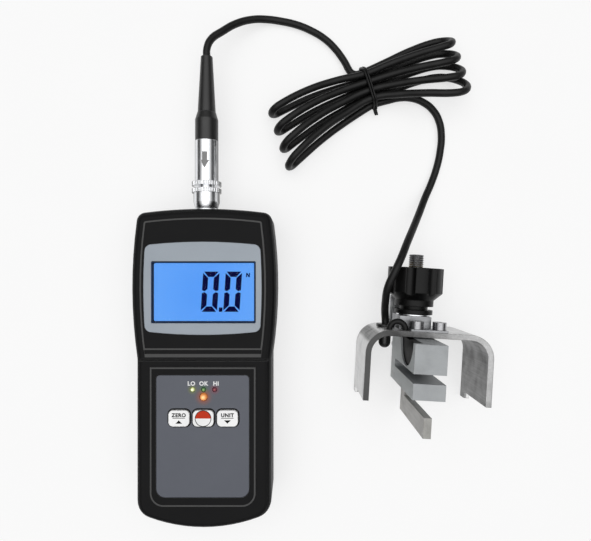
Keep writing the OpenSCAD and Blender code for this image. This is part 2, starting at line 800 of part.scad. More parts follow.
module rear_shell() {
    color(black_plastic) difference() {
        union() {
            difference() {
                rear_outer();
                slab(back_wall, split_z) case_outline(wall);
            }
            at_posts() translate([0, 0, over]) cylinder(d = post_d, h = split_z - over);
            rib(cell_y + cell_l / 2 + contact_t + 2 * fit_gap);
            rib(cell_y - cell_l / 2 - contact_t - 2 * fit_gap - rib_t);
        }
        intersection() {
            union() {
                door_block(door_w / 2, -cut, seat_gap);
                door_block(door_w / 2 + door_tongue, door_lip_t, seat_gap);
            }
            slab(-2 * cut, back_wall + 2 * cut + over) square(2 * case_l, center = true);
        }
        at_posts() {
            translate([0, 0, -cut])
                cylinder(d = screw_head_d + 2 * seat_gap, h = cut + screw_head_z + screw_head_h);
            cylinder(d = case_screw_d + 2 * fit_gap, h = split_z + cut);
        }
        socket_hole();
    }
}

module battery_door() {
    color(black_plastic) intersection() {
        rear_outer();
        union() {
            door_block(door_w / 2, -cut, 0);
            door_block(door_w / 2 + door_tongue, door_lip_t + seat_gap, 0);
        }
        slab(-2 * cut, door_t + 2 * cut) square(2 * case_l, center = true);
    }
}

module case_screws() {
    color(steel) at_posts() difference() {
        union() {
            translate([0, 0, screw_head_z]) cylinder(d = screw_head_d, h = screw_head_h);
            translate([0, 0, screw_head_z + screw_head_h - over])
                cylinder(d = case_screw_d, h = screw_tip_z - screw_head_z - screw_head_h);
        }
        for (a = [0, 90]) rotate(a) translate([0, 0, screw_head_z])
            cube([screw_slot_l, screw_slot_w, screw_head_h], center = true);
    }
}

// Display
module display_bezel() {
    color("#9aa2a9") slab(face_z - bezel_seat, bezel_seat + bezel_rise) difference() {
        bezel_outline();
        window_outline(seat_gap);
    }
}

module display_window() {
    color("#bcd8f6") slab(face_z - bezel_seat, bezel_seat + bezel_rise - window_sunk) window_outline();
}

module lcd_panel() {
    color("#5fa0f8") {
        slab(lcd_z, lcd_t) translate([face_x, window_y]) square([lcd_w, lcd_l], center = true);
        slab(ceiling_z - over, lcd_plate_z - ceiling_z + over) window_outline(-window_lip - seat_gap);
    }
}

module backlight() {
    color("white") slab(backlight_z, backlight_t)
        translate([face_x, window_y]) square([lcd_w, lcd_l], center = true);
}

module main_board() {
    color("#1f6b3a") {
        slab(board_z, board_t) translate([-board_w / 2, board_bottom])
            square([board_w, board_top - board_bottom]);
        for (c = chips)
            slab(backlight_z - over, c[4]) translate([c[0], c[1]]) square([c[2], c[3]], center = true);
    }
}

// Keypad
module keypad_label() {
    color("#5d606a") slab(face_z - label_t, label_t) difference() {
        label_outline();
        keypad_holes(seat_gap);
    }
}

module key(i) {
    color("#f2f2f0") {
        slab(key_low_z, face_z + key_rise - key_low_z) key_outline(i);
        slab(key_low_z, key_flange_t) key_outline(i, key_flange);
    }
}

module left_key() { key(-1); }

module power_key() { key(0); }

module right_key() { key(1); }

module key_switches() {
    color("#2a2a2a") for (i = [-1 : 1]) {
        slab(backlight_z, switch_h)
            translate([face_x + i * key_pitch, key_y]) square(switch_w, center = true);
        slab(backlight_z, plunger_z - backlight_z)
            translate([face_x + i * key_pitch, key_y]) circle(d = plunger_d);
    }
}

module lamp(x, y, d) {
    translate([face_x + x, y, backlight_z]) cylinder(d = d, h = face_z - lamp_dome - backlight_z);
    translate([face_x + x, y, face_z - lamp_dome]) intersection() {
        sphere(d = d);
        translate([0, 0, -over]) cylinder(d = 2 * d, h = d);
    }
}

module low_lamp() { color("#d9e86a") lamp(-lamp_pitch, lamp_y, lamp_d); }

module ok_lamp() { color("#45b84f") lamp(0, lamp_y, lamp_d); }

module high_lamp() { color("#d23a2e") lamp(lamp_pitch, lamp_y, lamp_d); }

module power_lamp() { color("#f08a24") lamp(0, power_lamp_y, power_lamp_d); }

// Batteries
module battery_cells() {
    color("#b9bdc2") for (i = [0 : cell_count - 1]) {
        turn = i % 2 == 0 ? 1 : -1;
        translate([cell_x(i), cell_y, cell_z]) rotate([-90 * turn, 0, 0]) {
            translate([0, 0, -cell_l / 2]) cylinder(d = cell_d, h = cell_l - cell_nub_l);
            translate([0, 0, cell_l / 2 - cell_nub_l - over]) cylinder(d = cell_nub_d, h = cell_nub_l + over);
        }
    }
}

module battery_contacts() {
    color(chrome) for (i = [0 : cell_count - 1], s = [-1, 1])
        translate([cell_x(i), cell_y + s * (cell_l / 2 + contact_t / 2 + fit_gap), cell_z])
            cube([contact_w, contact_t, contact_h], center = true);
}

// Socket and plug
module socket_body() {
    color(chrome) difference() {
        union() {
            on_plug(top_y - socket_back) cylinder(d = socket_d, h = socket_back);
            on_plug(top_y) cylinder(d = flange_d, h = flange_t);
        }
        on_plug(nose_y - seat_gap) cylinder(d = nose_d + 2 * fit_gap, h = socket_back + cut);
    }
}

module socket_nut() {
    color(chrome) difference() {
        on_plug(top_y - wall - seat_gap - nut_t) cylinder(d = nut_d, h = nut_t, $fn = 6);
        on_plug(top_y - wall - seat_gap - nut_t - cut)
            cylinder(d = socket_d + 2 * fit_gap, h = nut_t + 2 * cut);
    }
}

module knurled_ring(y) {
    on_plug(y) difference() {
        cylinder(d = ring_d, h = ring_l);
        for (i = [0 : knurl_count - 1]) rotate(360 * i / knurl_count)
            translate([ring_d / 2, 0, -cut]) cylinder(d = knurl_d, h = ring_l + 2 * cut);
    }
}

module plug_sleeve() {
    color(chrome) difference() {
        union() {
            on_plug(sleeve_y) cylinder(d1 = sleeve_cone_d, d2 = sleeve_d, h = sleeve_cone_l);
            on_plug(sleeve_y + sleeve_cone_l - over)
                cylinder(d = sleeve_d, h = sleeve_l - sleeve_cone_l + 2 * over);
            knurled_ring(ring_y);
        }
        on_plug(sleeve_y - cut) cylinder(d = nose_d + 2 * run_gap, h = sleeve_l + ring_l + 2 * cut);
    }
}

module arrow_outline() {
    neck = arrow_head - arrow_l / 2;
    polygon([[0, -arrow_l / 2], [arrow_w / 2, neck], [arrow_stem / 2, neck], [arrow_stem / 2, arrow_l / 2],
        [-arrow_stem / 2, arrow_l / 2], [-arrow_stem / 2, neck], [-arrow_w / 2, neck]]);
}

module plug_body() {
    color(chrome) difference() {
        union() {
            on_plug(nose_y) cylinder(d = nose_d, h = body_y - nose_y + over);
            knurled_ring(body_y);
            on_plug(body_y + ring_l - over) cylinder(d = plug_d, h = plug_l + over);
        }
        on_plug(nose_y - cut) cylinder(d = insert_bore_d, h = collar_y - nose_y + 2 * cut);
        translate([plug_x, body_y + ring_l + plug_l / 2, split_z + plug_d / 2 - arrow_d])
            linear_extrude(cut) arrow_outline();
    }
}

module plug_insert() {
    color("#e6e0d0") {
        on_plug(nose_y + pin_l) cylinder(d = insert_bore_d - 2 * fit_gap, h = insert_l);
        for (a = [0 : 90 : 270]) on_plug(nose_y + seat_gap) rotate(a) translate([pin_ring_r, 0, 0])
            cylinder(d = pin_d, h = pin_l);
    }
}

module plug_collar() {
    color(rubber) difference() {
        union() {
            on_plug(collar_y) cylinder(d = collar_d, h = collar_l - collar_taper_l + over);
            on_plug(collar_y + collar_l - collar_taper_l)
                cylinder(d1 = collar_d, d2 = collar_top_d, h = collar_taper_l);
        }
        on_plug(collar_y - cut) cylinder(d = spigot_d + 2 * fit_gap, h = collar_l + 2 * cut);
    }
}

module plug_boot() {
    color(rubber) {
        on_plug(collar_y) cylinder(d = spigot_d, h = collar_l + over);
        on_plug(boot_y) cylinder(d1 = boot_d, d2 = boot_tip_d, h = boot_l);
    }
}

// Cord
module tube(path, sides) {
    polyhedron(tube_points(path, cord_d / 2, sides), tube_faces(len(path), sides));
}

module cord_lead() { color(rubber) tube(lead_path, tube_sides); }

module cord_hank() { color(rubber) tube([for (p = hank_path) from_hank(p)], hank_sides); }

module cord_tail() { color(rubber) tube(tail_path, tube_sides); }

module bundle_outline(grow) {
    hull() for (s = [-1, 1]) {
        translate([s * waist_low(waist_top_v)[1], waist_low(0)[2]]) circle(d = cord_d + 2 * grow);
        translate([s * (waist_top_v - strand_pitch / 2), waist_high(0)[2]]) circle(d = cord_d + 2 * grow);
    }
}

module cord_tie() {
    color(rubber) translate([hank_x, hank_y, 0]) rotate(hank_turn) rotate([90, 0, 90])
        linear_extrude(tie_w, center = true) difference() {
            bundle_outline(tie_gap + tie_t);
            bundle_outline(tie_gap);
        }
}

// Probe bracket and its fittings
module bracket_outline(w, h, r) {
    translate([-w / 2, -h]) square([w, h - r]);
    translate([r - w / 2, -h]) square([w - 2 * r, h]);
    for (s = [-1, 1]) translate([s * (w / 2 - r), -r]) circle(r);
}

module bracket() {
    color(aluminium) on_probe() difference() {
        union() {
            translate([bracket_x, plate_y, 0]) linear_extrude(bracket_depth) difference() {
                bracket_outline(bracket_w, bracket_h, bend_r);
                translate([0, -sheet_t])
                    bracket_outline(bracket_w - 2 * sheet_t, bracket_h, bend_r - sheet_t);
            }
            for (x = [bracket_x - bracket_w / 2, bracket_x + bracket_w / 2 - sheet_t])
                translate([x, leg_y - tab_l, 0]) cube([sheet_t, tab_l + over, tab_depth]);
        }
        on_stud(under_y - cut) cylinder(d = stud_d + 2 * seat_gap, h = sheet_t + 2 * cut);
        translate([probe_x - tongue_w / 2 - run_gap, under_y - cut, tongue_back_z - run_gap])
            cube([tongue_w + 2 * run_gap, sheet_t + 2 * cut, tongue_t + 2 * run_gap]);
        along_y(grommet_x, under_y - cut, axis_z)
            cylinder(d = grommet_d + 2 * fit_gap, h = sheet_t + 2 * cut);
        for (s = [-1, 1]) along_y(lead_arch_x + s * lead_arch_r, under_y - cut, lead_arch_z)
            cylinder(d = lead_wire_d + 2 * fit_gap, h = sheet_t + 2 * cut);
        for (x = foot_screw_xs) along_y(x, under_y - cut, foot_screw_z)
            cylinder(d = foot_screw_d + 2 * fit_gap, h = sheet_t + 2 * cut);
    }
}

module guide_block() {
    color("#9c9da0") on_probe() difference() {
        union() {
            translate([block_x - block_w / 2, block_y, axis_z - block_depth / 2])
                cube([block_w, block_h, block_depth]);
            translate([foot_x, block_y, axis_z + block_depth / 2 - over]) cube([foot_w, foot_t, foot_depth]);
        }
        on_stud(block_y - cut) cylinder(d = stud_d + 2 * run_gap, h = block_h + 2 * cut);
        for (x = foot_screw_xs) along_y(x, block_y - cut, foot_screw_z)
            cylinder(d = foot_screw_d + 2 * fit_gap, h = foot_t + 2 * cut);
    }
}

module foot_screws() {
    color("#8f9094") on_probe() for (x = foot_screw_xs) along_y(x, 0, foot_screw_z) difference() {
        union() {
            translate([0, 0, under_y + seat_gap]) cylinder(d = foot_screw_d, h = sheet_t + foot_t);
            translate([0, 0, block_y + foot_t]) cylinder(d = foot_head_d, h = foot_screw_d);
        }
        translate([0, 0, block_y + foot_t + foot_screw_d / 2])
            cylinder(d = foot_key_d, h = foot_screw_d, $fn = 6);
    }
}

module cord_grommet() {
    color(rubber) on_probe() {
        along_y(grommet_x, plate_y, axis_z) cylinder(d = grommet_flange_d, h = grommet_flange_t);
        along_y(grommet_x, under_y - over, axis_z) cylinder(d = grommet_d, h = sheet_t + 2 * over);
        along_y(grommet_x, grommet_end_y + grommet_bulb_d / 2, axis_z) {
            cylinder(d = grommet_bulb_d, h = under_y - grommet_end_y - grommet_bulb_d / 2);
            sphere(d = grommet_bulb_d);
        }
    }
}

module sensor_lead() {
    color(rubber) on_probe() translate([lead_arch_x, lead_arch_y, lead_arch_z]) {
        rotate_extrude(angle = 180) translate([lead_arch_r, 0]) circle(d = lead_wire_d);
        for (s = [-1, 1]) translate([s * lead_arch_r, over, 0]) rotate([90, 0, 0])
            cylinder(d = lead_wire_d, h = lead_arch_y - under_y + over);
    }
}

// Knob and stud
module thrust_washer() {
    color(chrome) on_probe() difference() {
        on_stud(washer_y) cylinder(d = washer_d, h = washer_t);
        on_stud(washer_y - cut) cylinder(d = stud_d + 2 * seat_gap, h = washer_t + 2 * cut);
    }
}

module knob() {
    color(black_plastic) on_probe() on_stud(knob_y) difference() {
        rotate_extrude() polygon([[0, 0], [knob_flange_d / 2, 0], [knob_flange_d / 2, knob_flange_h],
            [knob_groove_d / 2, knob_flange_h], [knob_groove_d / 2, groove_top_y],
            [knob_neck_d / 2, groove_top_y], [knob_neck_d / 2, neck_top_y], [knob_d / 2, head_y],
            [knob_d / 2, knob_h], [0, knob_h]]);
        for (i = [0 : knob_lobes - 1]) rotate(360 * (i + 0.5) / knob_lobes)
            translate([knob_d / 2 + flute_d / 2 - flute_in, 0, neck_top_y]) cylinder(d = flute_d, h = knob_h);
        translate([0, 0, -cut]) cylinder(d = insert_d + 2 * fit_gap, h = knob_h + 2 * cut);
    }
}

module knob_insert() {
    color("#b08d4a") on_probe() on_stud(knob_y + fit_gap) difference() {
        cylinder(d = insert_d, h = knob_h - 2 * fit_gap);
        translate([0, 0, -cut]) cylinder(d = stud_d + 2 * run_gap, h = knob_h + 2 * cut);
    }
}

module stud() {
    color("#55565a") on_probe() on_stud(stud_low_y) rotate_extrude() polygon(concat(
        [[0, 0], [stud_d / 2, 0]],
        [for (i = [0 : thread_turns - 1]) let (h = thread_low + i * thread_pitch)
            each [[stud_d / 2, h], [stud_d / 2 - thread_d, h + thread_pitch / 2]]],
        [[stud_d / 2, stud_l - thread_d], [stud_d / 2 - thread_d, stud_l], [0, stud_l]]));
}

// Load cell and hook
module load_cell() {
    color(aluminium) on_probe() difference() {
        across_x(probe_x, cell_block_w) difference() {
            translate([cell_back_z, cell_low_y]) square([cell_block_depth, cell_top_y - cell_low_y]);
            translate([web_z, slot_y]) square([cell_block_depth, arm_slot]);
            translate([web_z, slot_y + arm_slot / 2]) circle(d = arm_slot);
        }
        gauge_pocket(cell_left_x - cut, pocket_depth + cut, pocket_r);
        on_stud(stud_low_y - seat_gap) cylinder(d = stud_d + 2 * fit_gap, h = stud_seat + cut);
        across_x(blade_x, blade_t + 2 * fit_gap) translate([blade_back_z - fit_gap, cell_low_y - cut])
            square([blade_leg + 2 * fit_gap, blade_root + fit_gap + cut]);
        blade_pin_row(blade_pin_d + 2 * fit_gap, cell_block_w + 2 * cut);
        for (x = tongue_screw_xs) translate([x, tongue_screw_y, cell_back_z - cut])
            cylinder(d = tongue_screw_d + 2 * fit_gap, h = tongue_screw_l + cut + seat_gap);
    }
}

module gauge_pocket(x, depth, r) {
    translate([x, pocket_y, pocket_z]) rotate([0, 90, 0]) cylinder(r = r, h = depth);
}

module blade_pin_row(d, l) {
    for (s = [-1, 1]) translate([probe_x - l / 2, blade_pin_y, blade_pin_z + s * blade_pin_step])
        rotate([0, 90, 0]) cylinder(d = d, h = l);
}

module gauge_potting() {
    color(rubber) on_probe() intersection() {
        gauge_pocket(cell_left_x + potting_sink, pocket_depth - potting_sink - fit_gap, pocket_r - fit_gap);
        translate([cell_left_x, arm_y, cell_back_z])
            cube([cell_block_w, cell_top_y - arm_y, cell_block_depth]);
    }
}

module guide_tongue() {
    color("#b4b6b8") on_probe() difference() {
        union() {
            translate([probe_x - tongue_w / 2, tongue_wide_y, tongue_back_z])
                cube([tongue_w, tongue_top_y - tongue_wide_y, tongue_t]);
            translate([probe_x - tongue_root_w / 2, tongue_low_y, tongue_back_z])
                cube([tongue_root_w, tongue_wide_y - tongue_low_y + over, tongue_t]);
        }
        for (x = tongue_screw_xs) translate([x, tongue_screw_y, tongue_back_z - cut])
            cylinder(d = tongue_screw_d + 2 * fit_gap, h = tongue_t + 2 * cut);
    }
}

module tongue_screws() {
    color(steel) on_probe() for (x = tongue_screw_xs) translate([x, tongue_screw_y, tongue_back_z]) {
        cylinder(d = tongue_screw_d, h = tongue_t + tongue_screw_l);
        translate([0, 0, -tongue_head_h]) cylinder(d = tongue_head_d, h = tongue_head_h);
    }
}

module hook_blade() {
    color(steel) on_probe() difference() {
        across_x(blade_x, blade_t) {
            translate([blade_back_z, blade_top_y - blade_h]) {
                square([cell_front_z - blade_back_z, blade_h]);
                square([blade_leg, blade_h + blade_gap + blade_root]);
            }
        }
        blade_pin_row(blade_pin_d + 2 * fit_gap, cell_block_w + 2 * cut);
    }
}

module blade_pins() {
    color(steel) on_probe() blade_pin_row(blade_pin_d, cell_block_w);
}

front_shell();
rear_shell();
battery_door();
case_screws();
display_bezel();
display_window();
lcd_panel();
backlight();
main_board();
keypad_label();
left_key();
power_key();
right_key();
key_switches();
low_lamp();
ok_lamp();
high_lamp();
power_lamp();
battery_cells();
battery_contacts();
socket_body();
socket_nut();
plug_sleeve();
plug_body();
plug_insert();
plug_collar();
plug_boot();
cord_lead();
cord_hank();
cord_tail();
cord_tie();
bracket();
guide_block();
foot_screws();
cord_grommet();
sensor_lead();
thrust_washer();
knob();
knob_insert();
stud();
load_cell();
gauge_potting();
guide_tongue();
tongue_screws();
hook_blade();
blade_pins();
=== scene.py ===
# %% [markdown]
# # Belt tension meter on a white table
# A handset, its plug, a tied cord and a clamp probe lie flat, seen from straight above.
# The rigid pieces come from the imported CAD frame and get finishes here. The cord, its wire tie, the
# printing and the display's figures are modelled here, because thin and soft things are easier in Blender.

# %% Load the frame
import math

import bmesh
import bpy
from mathutils import Matrix, Vector


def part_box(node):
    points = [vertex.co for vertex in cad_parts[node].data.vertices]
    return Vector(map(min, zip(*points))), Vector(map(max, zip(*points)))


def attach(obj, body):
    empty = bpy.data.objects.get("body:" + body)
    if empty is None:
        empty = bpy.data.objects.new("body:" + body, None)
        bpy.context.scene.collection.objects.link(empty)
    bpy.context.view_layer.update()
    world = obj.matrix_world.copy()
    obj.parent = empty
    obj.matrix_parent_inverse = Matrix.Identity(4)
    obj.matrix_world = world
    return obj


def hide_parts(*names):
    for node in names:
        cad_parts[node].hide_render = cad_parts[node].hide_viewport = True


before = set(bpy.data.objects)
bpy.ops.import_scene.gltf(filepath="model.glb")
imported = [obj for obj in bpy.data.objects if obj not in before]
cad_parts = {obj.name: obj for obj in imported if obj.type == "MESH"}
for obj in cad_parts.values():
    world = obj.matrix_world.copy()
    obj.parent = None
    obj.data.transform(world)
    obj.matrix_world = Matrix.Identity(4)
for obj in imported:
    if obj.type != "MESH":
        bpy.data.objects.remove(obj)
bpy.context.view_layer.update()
MM = 0.001

# %% [markdown]
# ## Camera
# The photo is a flat lay, so the camera looks straight down and its up is the handset's up.
# The eye's place and the width seen at the table were fitted to the photo.
# A lens worked out from the two is easier to check than a lens found by trial.

# %% Camera
EYE_X = 41.85
EYE_Y = 44.6
EYE_HEIGHT = 240.0
SEEN_WIDTH = 301.6
SENSOR_WIDTH = 36.0
NEAREST_SEEN = 0.01

camera_data = bpy.data.cameras.new("camera")
camera_data.sensor_width = SENSOR_WIDTH
camera_data.lens = SENSOR_WIDTH * EYE_HEIGHT / SEEN_WIDTH
camera_data.clip_start = NEAREST_SEEN
camera = bpy.data.objects.new("camera", camera_data)
camera.location = Vector((EYE_X, EYE_Y, EYE_HEIGHT)) * MM
bpy.context.collection.objects.link(camera)
bpy.context.scene.camera = camera
bpy.context.scene.view_settings.view_transform = "Standard"
print("lens", round(camera_data.lens, 2))

# %% [markdown]
# ## Shader maths in Python
# A material is a graph of nodes, and long graphs are hard to read as code.
# Term wraps one output socket, so that `1 - mask` or `grain * 0.2` adds the Math node by itself.

# %% Terms
class Term:
    """One output socket of a material. Python's operators join terms into Math nodes."""

    def __init__(self, finish, socket):
        self.finish = finish
        self.socket = socket

    def join(self, operation, first, second):
        return self.finish.node("ShaderNodeMath", {"operation": operation}, {0: first, 1: second})

    def __add__(self, other):
        return self.join("ADD", self, other)

    def __radd__(self, other):
        return self.join("ADD", other, self)

    def __sub__(self, other):
        return self.join("SUBTRACT", self, other)

    def __rsub__(self, other):
        return self.join("SUBTRACT", other, self)

    def __mul__(self, other):
        return self.join("MULTIPLY", self, other)

    def __rmul__(self, other):
        return self.join("MULTIPLY", other, self)

    def __truediv__(self, other):
        return self.join("DIVIDE", self, other)


print("terms ready")

# %% [markdown]
# Finish holds one material, and its node method makes any node from its type, settings and inputs.
# The other methods are steps that many finishes here share: noise with a size in millimetres, a smooth
# step, a mix of two colours, rounded edges and bumps.

# %% Shader kit
MIX_SHARE = 0
MIX_FIRST = 6
MIX_SECOND = 7
MIX_COLOUR = 2
BEVEL_SAMPLES = 6
EDGE_FROM = 0.02
EDGE_FULL = 0.2


class Finish:
    """One procedural material."""

    def __init__(self, name):
        self.material = bpy.data.materials.new(name)
        self.material.use_nodes = True
        self.tree = self.material.node_tree
        self.tree.nodes.clear()

    def node(self, kind, settings=None, inputs=None, output=0):
        made = self.tree.nodes.new(kind)
        for key, value in (settings or {}).items():
            if key == "stops":
                self.set_stops(made.color_ramp, value)
            else:
                setattr(made, key, value)
        for key, value in (inputs or {}).items():
            if isinstance(value, Term):
                self.tree.links.new(value.socket, made.inputs[key])
            else:
                made.inputs[key].default_value = value
        return Term(self, made.outputs[output]) if made.outputs else None

    def set_stops(self, ramp, stops):
        while len(ramp.elements) < len(stops):
            ramp.elements.new(1.0)
        for element, (place, colour) in zip(ramp.elements, stops):
            element.position = place
            element.color = (*colour, 1.0)

    def place(self):
        return self.node("ShaderNodeTexCoord", output="Object")

    def noise(self, size, detail=3.0, stretch=(1.0, 1.0, 1.0)):
        """Noise from 0 to 1 with spots of about that size in millimetres, drawn out along the axes."""
        scale = [1.0 / (size * MM * s) for s in stretch]
        mapped = self.node("ShaderNodeMapping", {}, {"Vector": self.place(), "Scale": scale})
        return self.node("ShaderNodeTexNoise", {}, {"Vector": mapped, "Scale": 1.0, "Detail": detail})

    def step(self, value, low, high):
        """0 below low and 1 above high, smooth between them."""
        return self.node("ShaderNodeMapRange", {"interpolation_type": "SMOOTHSTEP"},
                         {"Value": value, "From Min": low, "From Max": high})

    def blend(self, factor, first, second):
        """Mix of two colours."""
        a, b = [(*c, 1.0) if isinstance(c, tuple) else c for c in (first, second)]
        return self.node("ShaderNodeMix", {"data_type": "RGBA"},
                         {MIX_SHARE: factor, MIX_FIRST: a, MIX_SECOND: b}, output=MIX_COLOUR)

    def rounded(self, radius):
        """Normal that rounds the sharp edges of a solid, in millimetres."""
        return self.node("ShaderNodeBevel", {"samples": BEVEL_SAMPLES}, {"Radius": radius * MM})

    def edges(self, normal):
        """1 on the rounded edges and 0 on the faces between them."""
        true_normal = self.node("ShaderNodeNewGeometry", output="True Normal")
        along = self.node("ShaderNodeVectorMath", {"operation": "DOT_PRODUCT"},
                          {0: normal, 1: true_normal}, output="Value")
        return self.step(1 - along, EDGE_FROM, EDGE_FULL)

    def bump(self, height, depth, normal=None):
        """Bumps of that depth in millimetres."""
        inputs = {"Height": height, "Distance": depth * MM, "Strength": 1.0}
        if normal:
            inputs["Normal"] = normal
        return self.node("ShaderNodeBump", {}, inputs)

    def surface(self, **inputs):
        named = {key.replace("_", " "): value for key, value in inputs.items()}
        shader = self.node("ShaderNodeBsdfPrincipled", {}, named)
        self.node("ShaderNodeOutputMaterial", {}, {"Surface": shader})
        return self.material


def grey(value):
    return (value, value, value)


def scaled(colour, share):
    return tuple(share * c for c in colour)


print("shader kit ready")

# %% [markdown]
# ## Light
# A product photo has one large soft light above and dimmer walls round the table.
# The walls matter for metal: the plug is a mirror, and its dark stripes are those walls.
# The world is therefore a ramp over the height of the view ray, bright overhead and dark above the horizon.
# The camera itself sees a plain pale wall there instead.

# %% World and lamp
WORLD_STOPS = [(0.0, grey(0.9)), (0.5, grey(0.75)), (0.53, grey(0.07)), (0.75, grey(0.1)),
               (0.87, grey(0.95)), (1.0, grey(1.0))]
LAMP_POWER = 14.5
LAMP_SIZE = 2.4
LAMP_PLACE = (0.0, 0.1, 1.9)
PLAIN_WHITE = (1.0, 1.0, 1.0, 1.0)
WALL_WHITE = 0.95

world = bpy.data.worlds.new("studio")
world.use_nodes = True
bpy.context.scene.world = world
studio = Finish("studio_kit")
studio.tree = world.node_tree
studio.tree.nodes.clear()
ray = studio.node("ShaderNodeTexCoord", output="Generated")
height = studio.node("ShaderNodeSeparateXYZ", {}, {0: ray}, output="Z")
walls = studio.node("ShaderNodeValToRGB", {"stops": WORLD_STOPS}, {0: (height + 1) / 2})
glow = studio.node("ShaderNodeBackground", {}, {"Color": walls, "Strength": 1.0})
wall = studio.node("ShaderNodeBackground", {}, {"Color": PLAIN_WHITE, "Strength": WALL_WHITE})
looked_at = studio.node("ShaderNodeLightPath", output="Is Camera Ray")
shown = studio.node("ShaderNodeMixShader", {}, {0: looked_at, 1: glow, 2: wall})
studio.node("ShaderNodeOutputWorld", {}, {"Surface": shown})
bpy.data.materials.remove(studio.material)

lamp_data = bpy.data.lights.new("soft_lamp", "AREA")
lamp_data.energy = LAMP_POWER
lamp_data.size = LAMP_SIZE
lamp = bpy.data.objects.new("soft_lamp", lamp_data)
lamp.location = LAMP_PLACE
lamp.rotation_euler = (-Vector(LAMP_PLACE)).to_track_quat("-Z", "Y").to_euler()
bpy.context.collection.objects.link(lamp)
print("lamp", LAMP_POWER, "W")

# %% [markdown]
# ## Floor
# The floor is part paper and part plain white, and the white part is there only for rays that are seen:
# it lifts the background without lighting the object, and the paper part keeps the object's shadow.

# %% Floor
FLOOR_HALF = 6.0
FLOOR_DROP = 0.0003
FLOOR_WHITE = 0.65
PAPER_DARK = grey(0.95)
PAPER_PALE = grey(0.98)
PAPER_SPOT = 40.0
PAPER = {"Roughness": 0.7, "Specular IOR Level": 0.1}
SEEN_RAYS = ("Is Camera Ray", "Is Glossy Ray", "Is Transmission Ray")

floor_finish = Finish("table_white")
floor_tone = floor_finish.blend(floor_finish.noise(PAPER_SPOT), PAPER_DARK, PAPER_PALE)
paper = floor_finish.node("ShaderNodeBsdfPrincipled", {}, {"Base Color": floor_tone, **PAPER})
white = floor_finish.node("ShaderNodeEmission", {}, {"Color": PLAIN_WHITE, "Strength": 1.0})
seen = sum(floor_finish.node("ShaderNodeLightPath", output=ray_kind) for ray_kind in SEEN_RAYS)
backdrop = floor_finish.node("ShaderNodeMixShader", {}, {0: seen * FLOOR_WHITE, 1: paper, 2: white})
floor_finish.node("ShaderNodeOutputMaterial", {}, {"Surface": backdrop})
floor_bm = bmesh.new()
bmesh.ops.create_grid(floor_bm, size=FLOOR_HALF, matrix=Matrix.Translation((0, 0, -FLOOR_DROP)))
floor_mesh = bpy.data.meshes.new("table")
floor_bm.to_mesh(floor_mesh)
floor_bm.free()
floor_mesh.materials.append(floor_finish.material)
floor = bpy.data.objects.new("table", floor_mesh)
bpy.context.collection.objects.link(floor)
print("floor", FLOOR_HALF * 2, "m wide")

# %% [markdown]
# ## Cord
# The cord leaves the plug's boot, lies on the table, is tied up in a hank and ends in the probe's grommet.
# It is one curve with a round bevel: a curve keeps the cord's length and thickness exact, and its own line
# can be measured. The two free stretches are lists of given points.

# %% Values of the cord
CORD_D = 3.6
BOOT_TIP = (-0.8, 147.05, 14)
LEAD = [(-0.8, 150.7, 14), (0.9, 155.6, 13.4), (6.5, 161.2, 11), (13, 166.5, 8), (20.5, 170, 5),
        (27.5, 171.2, 2.8), (34.5, 170.8, 1.8), (42.4, 169, 1.8), (49.8, 166, 1.8), (56.6, 161.9, 1.8),
        (61.8, 157, 1.8), (65, 152.8, 1.9), (67.2, 149.2, 2.1), (68.5, 146.4, 2.5), (69.9, 144.3, 2.9),
        (71.7, 143.3, 3.1)]
TAIL = [(88.5, 130.4, 2.6), (94.4, 131.9, 2), (100.8, 131.8, 1.8), (106.8, 129.6, 1.8), (111.6, 125.6, 1.8),
        (114.6, 120, 1.8), (115.7, 113, 1.8), (115.1, 105, 1.8), (113.4, 97, 1.8), (110.6, 89, 2.2),
        (106.8, 81, 4), (102.8, 73, 8.5), (98.2, 65, 15), (93.7, 57.5, 21.5), (90, 50.5, 26),
        (86.7, 44, 27.6), (83.9, 37, 26), (83.7, 30, 21), (84.2, 25, 17.2), (84.6, 22, 16)]
GROMMET_TOP = (84.69, 19.24, 16)
HANK_X = 78.5
HANK_Y = 136.2
HANK_TURN = math.radians(17.5)
STRAND_PITCH = CORD_D + 0.6
WAIST_HALF = STRAND_PITCH / 2
WAIST_LEAN = 60
TIE_T = 1.1
WAIST_LIFT = TIE_T + 0.2
LIFT_RUN = 18
WAIST_RUN = 1
JOIN_RUN = 1.2
LOOP_REACH = 47.5
LOOP_R = 5.7
LOOP_COUNT = 4
RUN_MARKS = (1 / 3, 2 / 3)
BEND_MARKS = range(0, 181, 30)
WAIST_TOP = STRAND_PITCH * LOOP_COUNT / 2
LEFT = {"way": -1, "lean": 87, "lean_growth": -1.4, "fan": 1.2, "sag": 10, "reach": LOOP_REACH + 2.8,
        "bend": LOOP_R - 1, "bend_growth": 0.35}
RIGHT = {"way": 1, "lean": 57, "lean_growth": -4, "fan": 0.8, "sag": 4.6, "reach": LOOP_REACH - 2.7,
         "bend": LOOP_R + 1, "bend_growth": 0.95}
print("loops a side", LOOP_COUNT)

# %% [markdown]
# The hank's loops come from a formula, the same one as in the CAD source, because points set by hand would
# hardly keep the strands apart. A loop runs out from the waist, turns round and comes back. On its way out
# it leans over, fans away from its neighbours and bends to one side.

# %% Shape of the hank's loops
def smooth(t):
    s = min(max(t, 0), 1)
    return s * s * (3 - 2 * s)


def low_z(a):
    return CORD_D / 2 + WAIST_LIFT * (1 - smooth(a / LIFT_RUN))


def bend_radius(wing, j):
    return wing["bend"] + wing["bend_growth"] * j


def loop_run(wing, j):
    return wing["reach"] - bend_radius(wing, j)


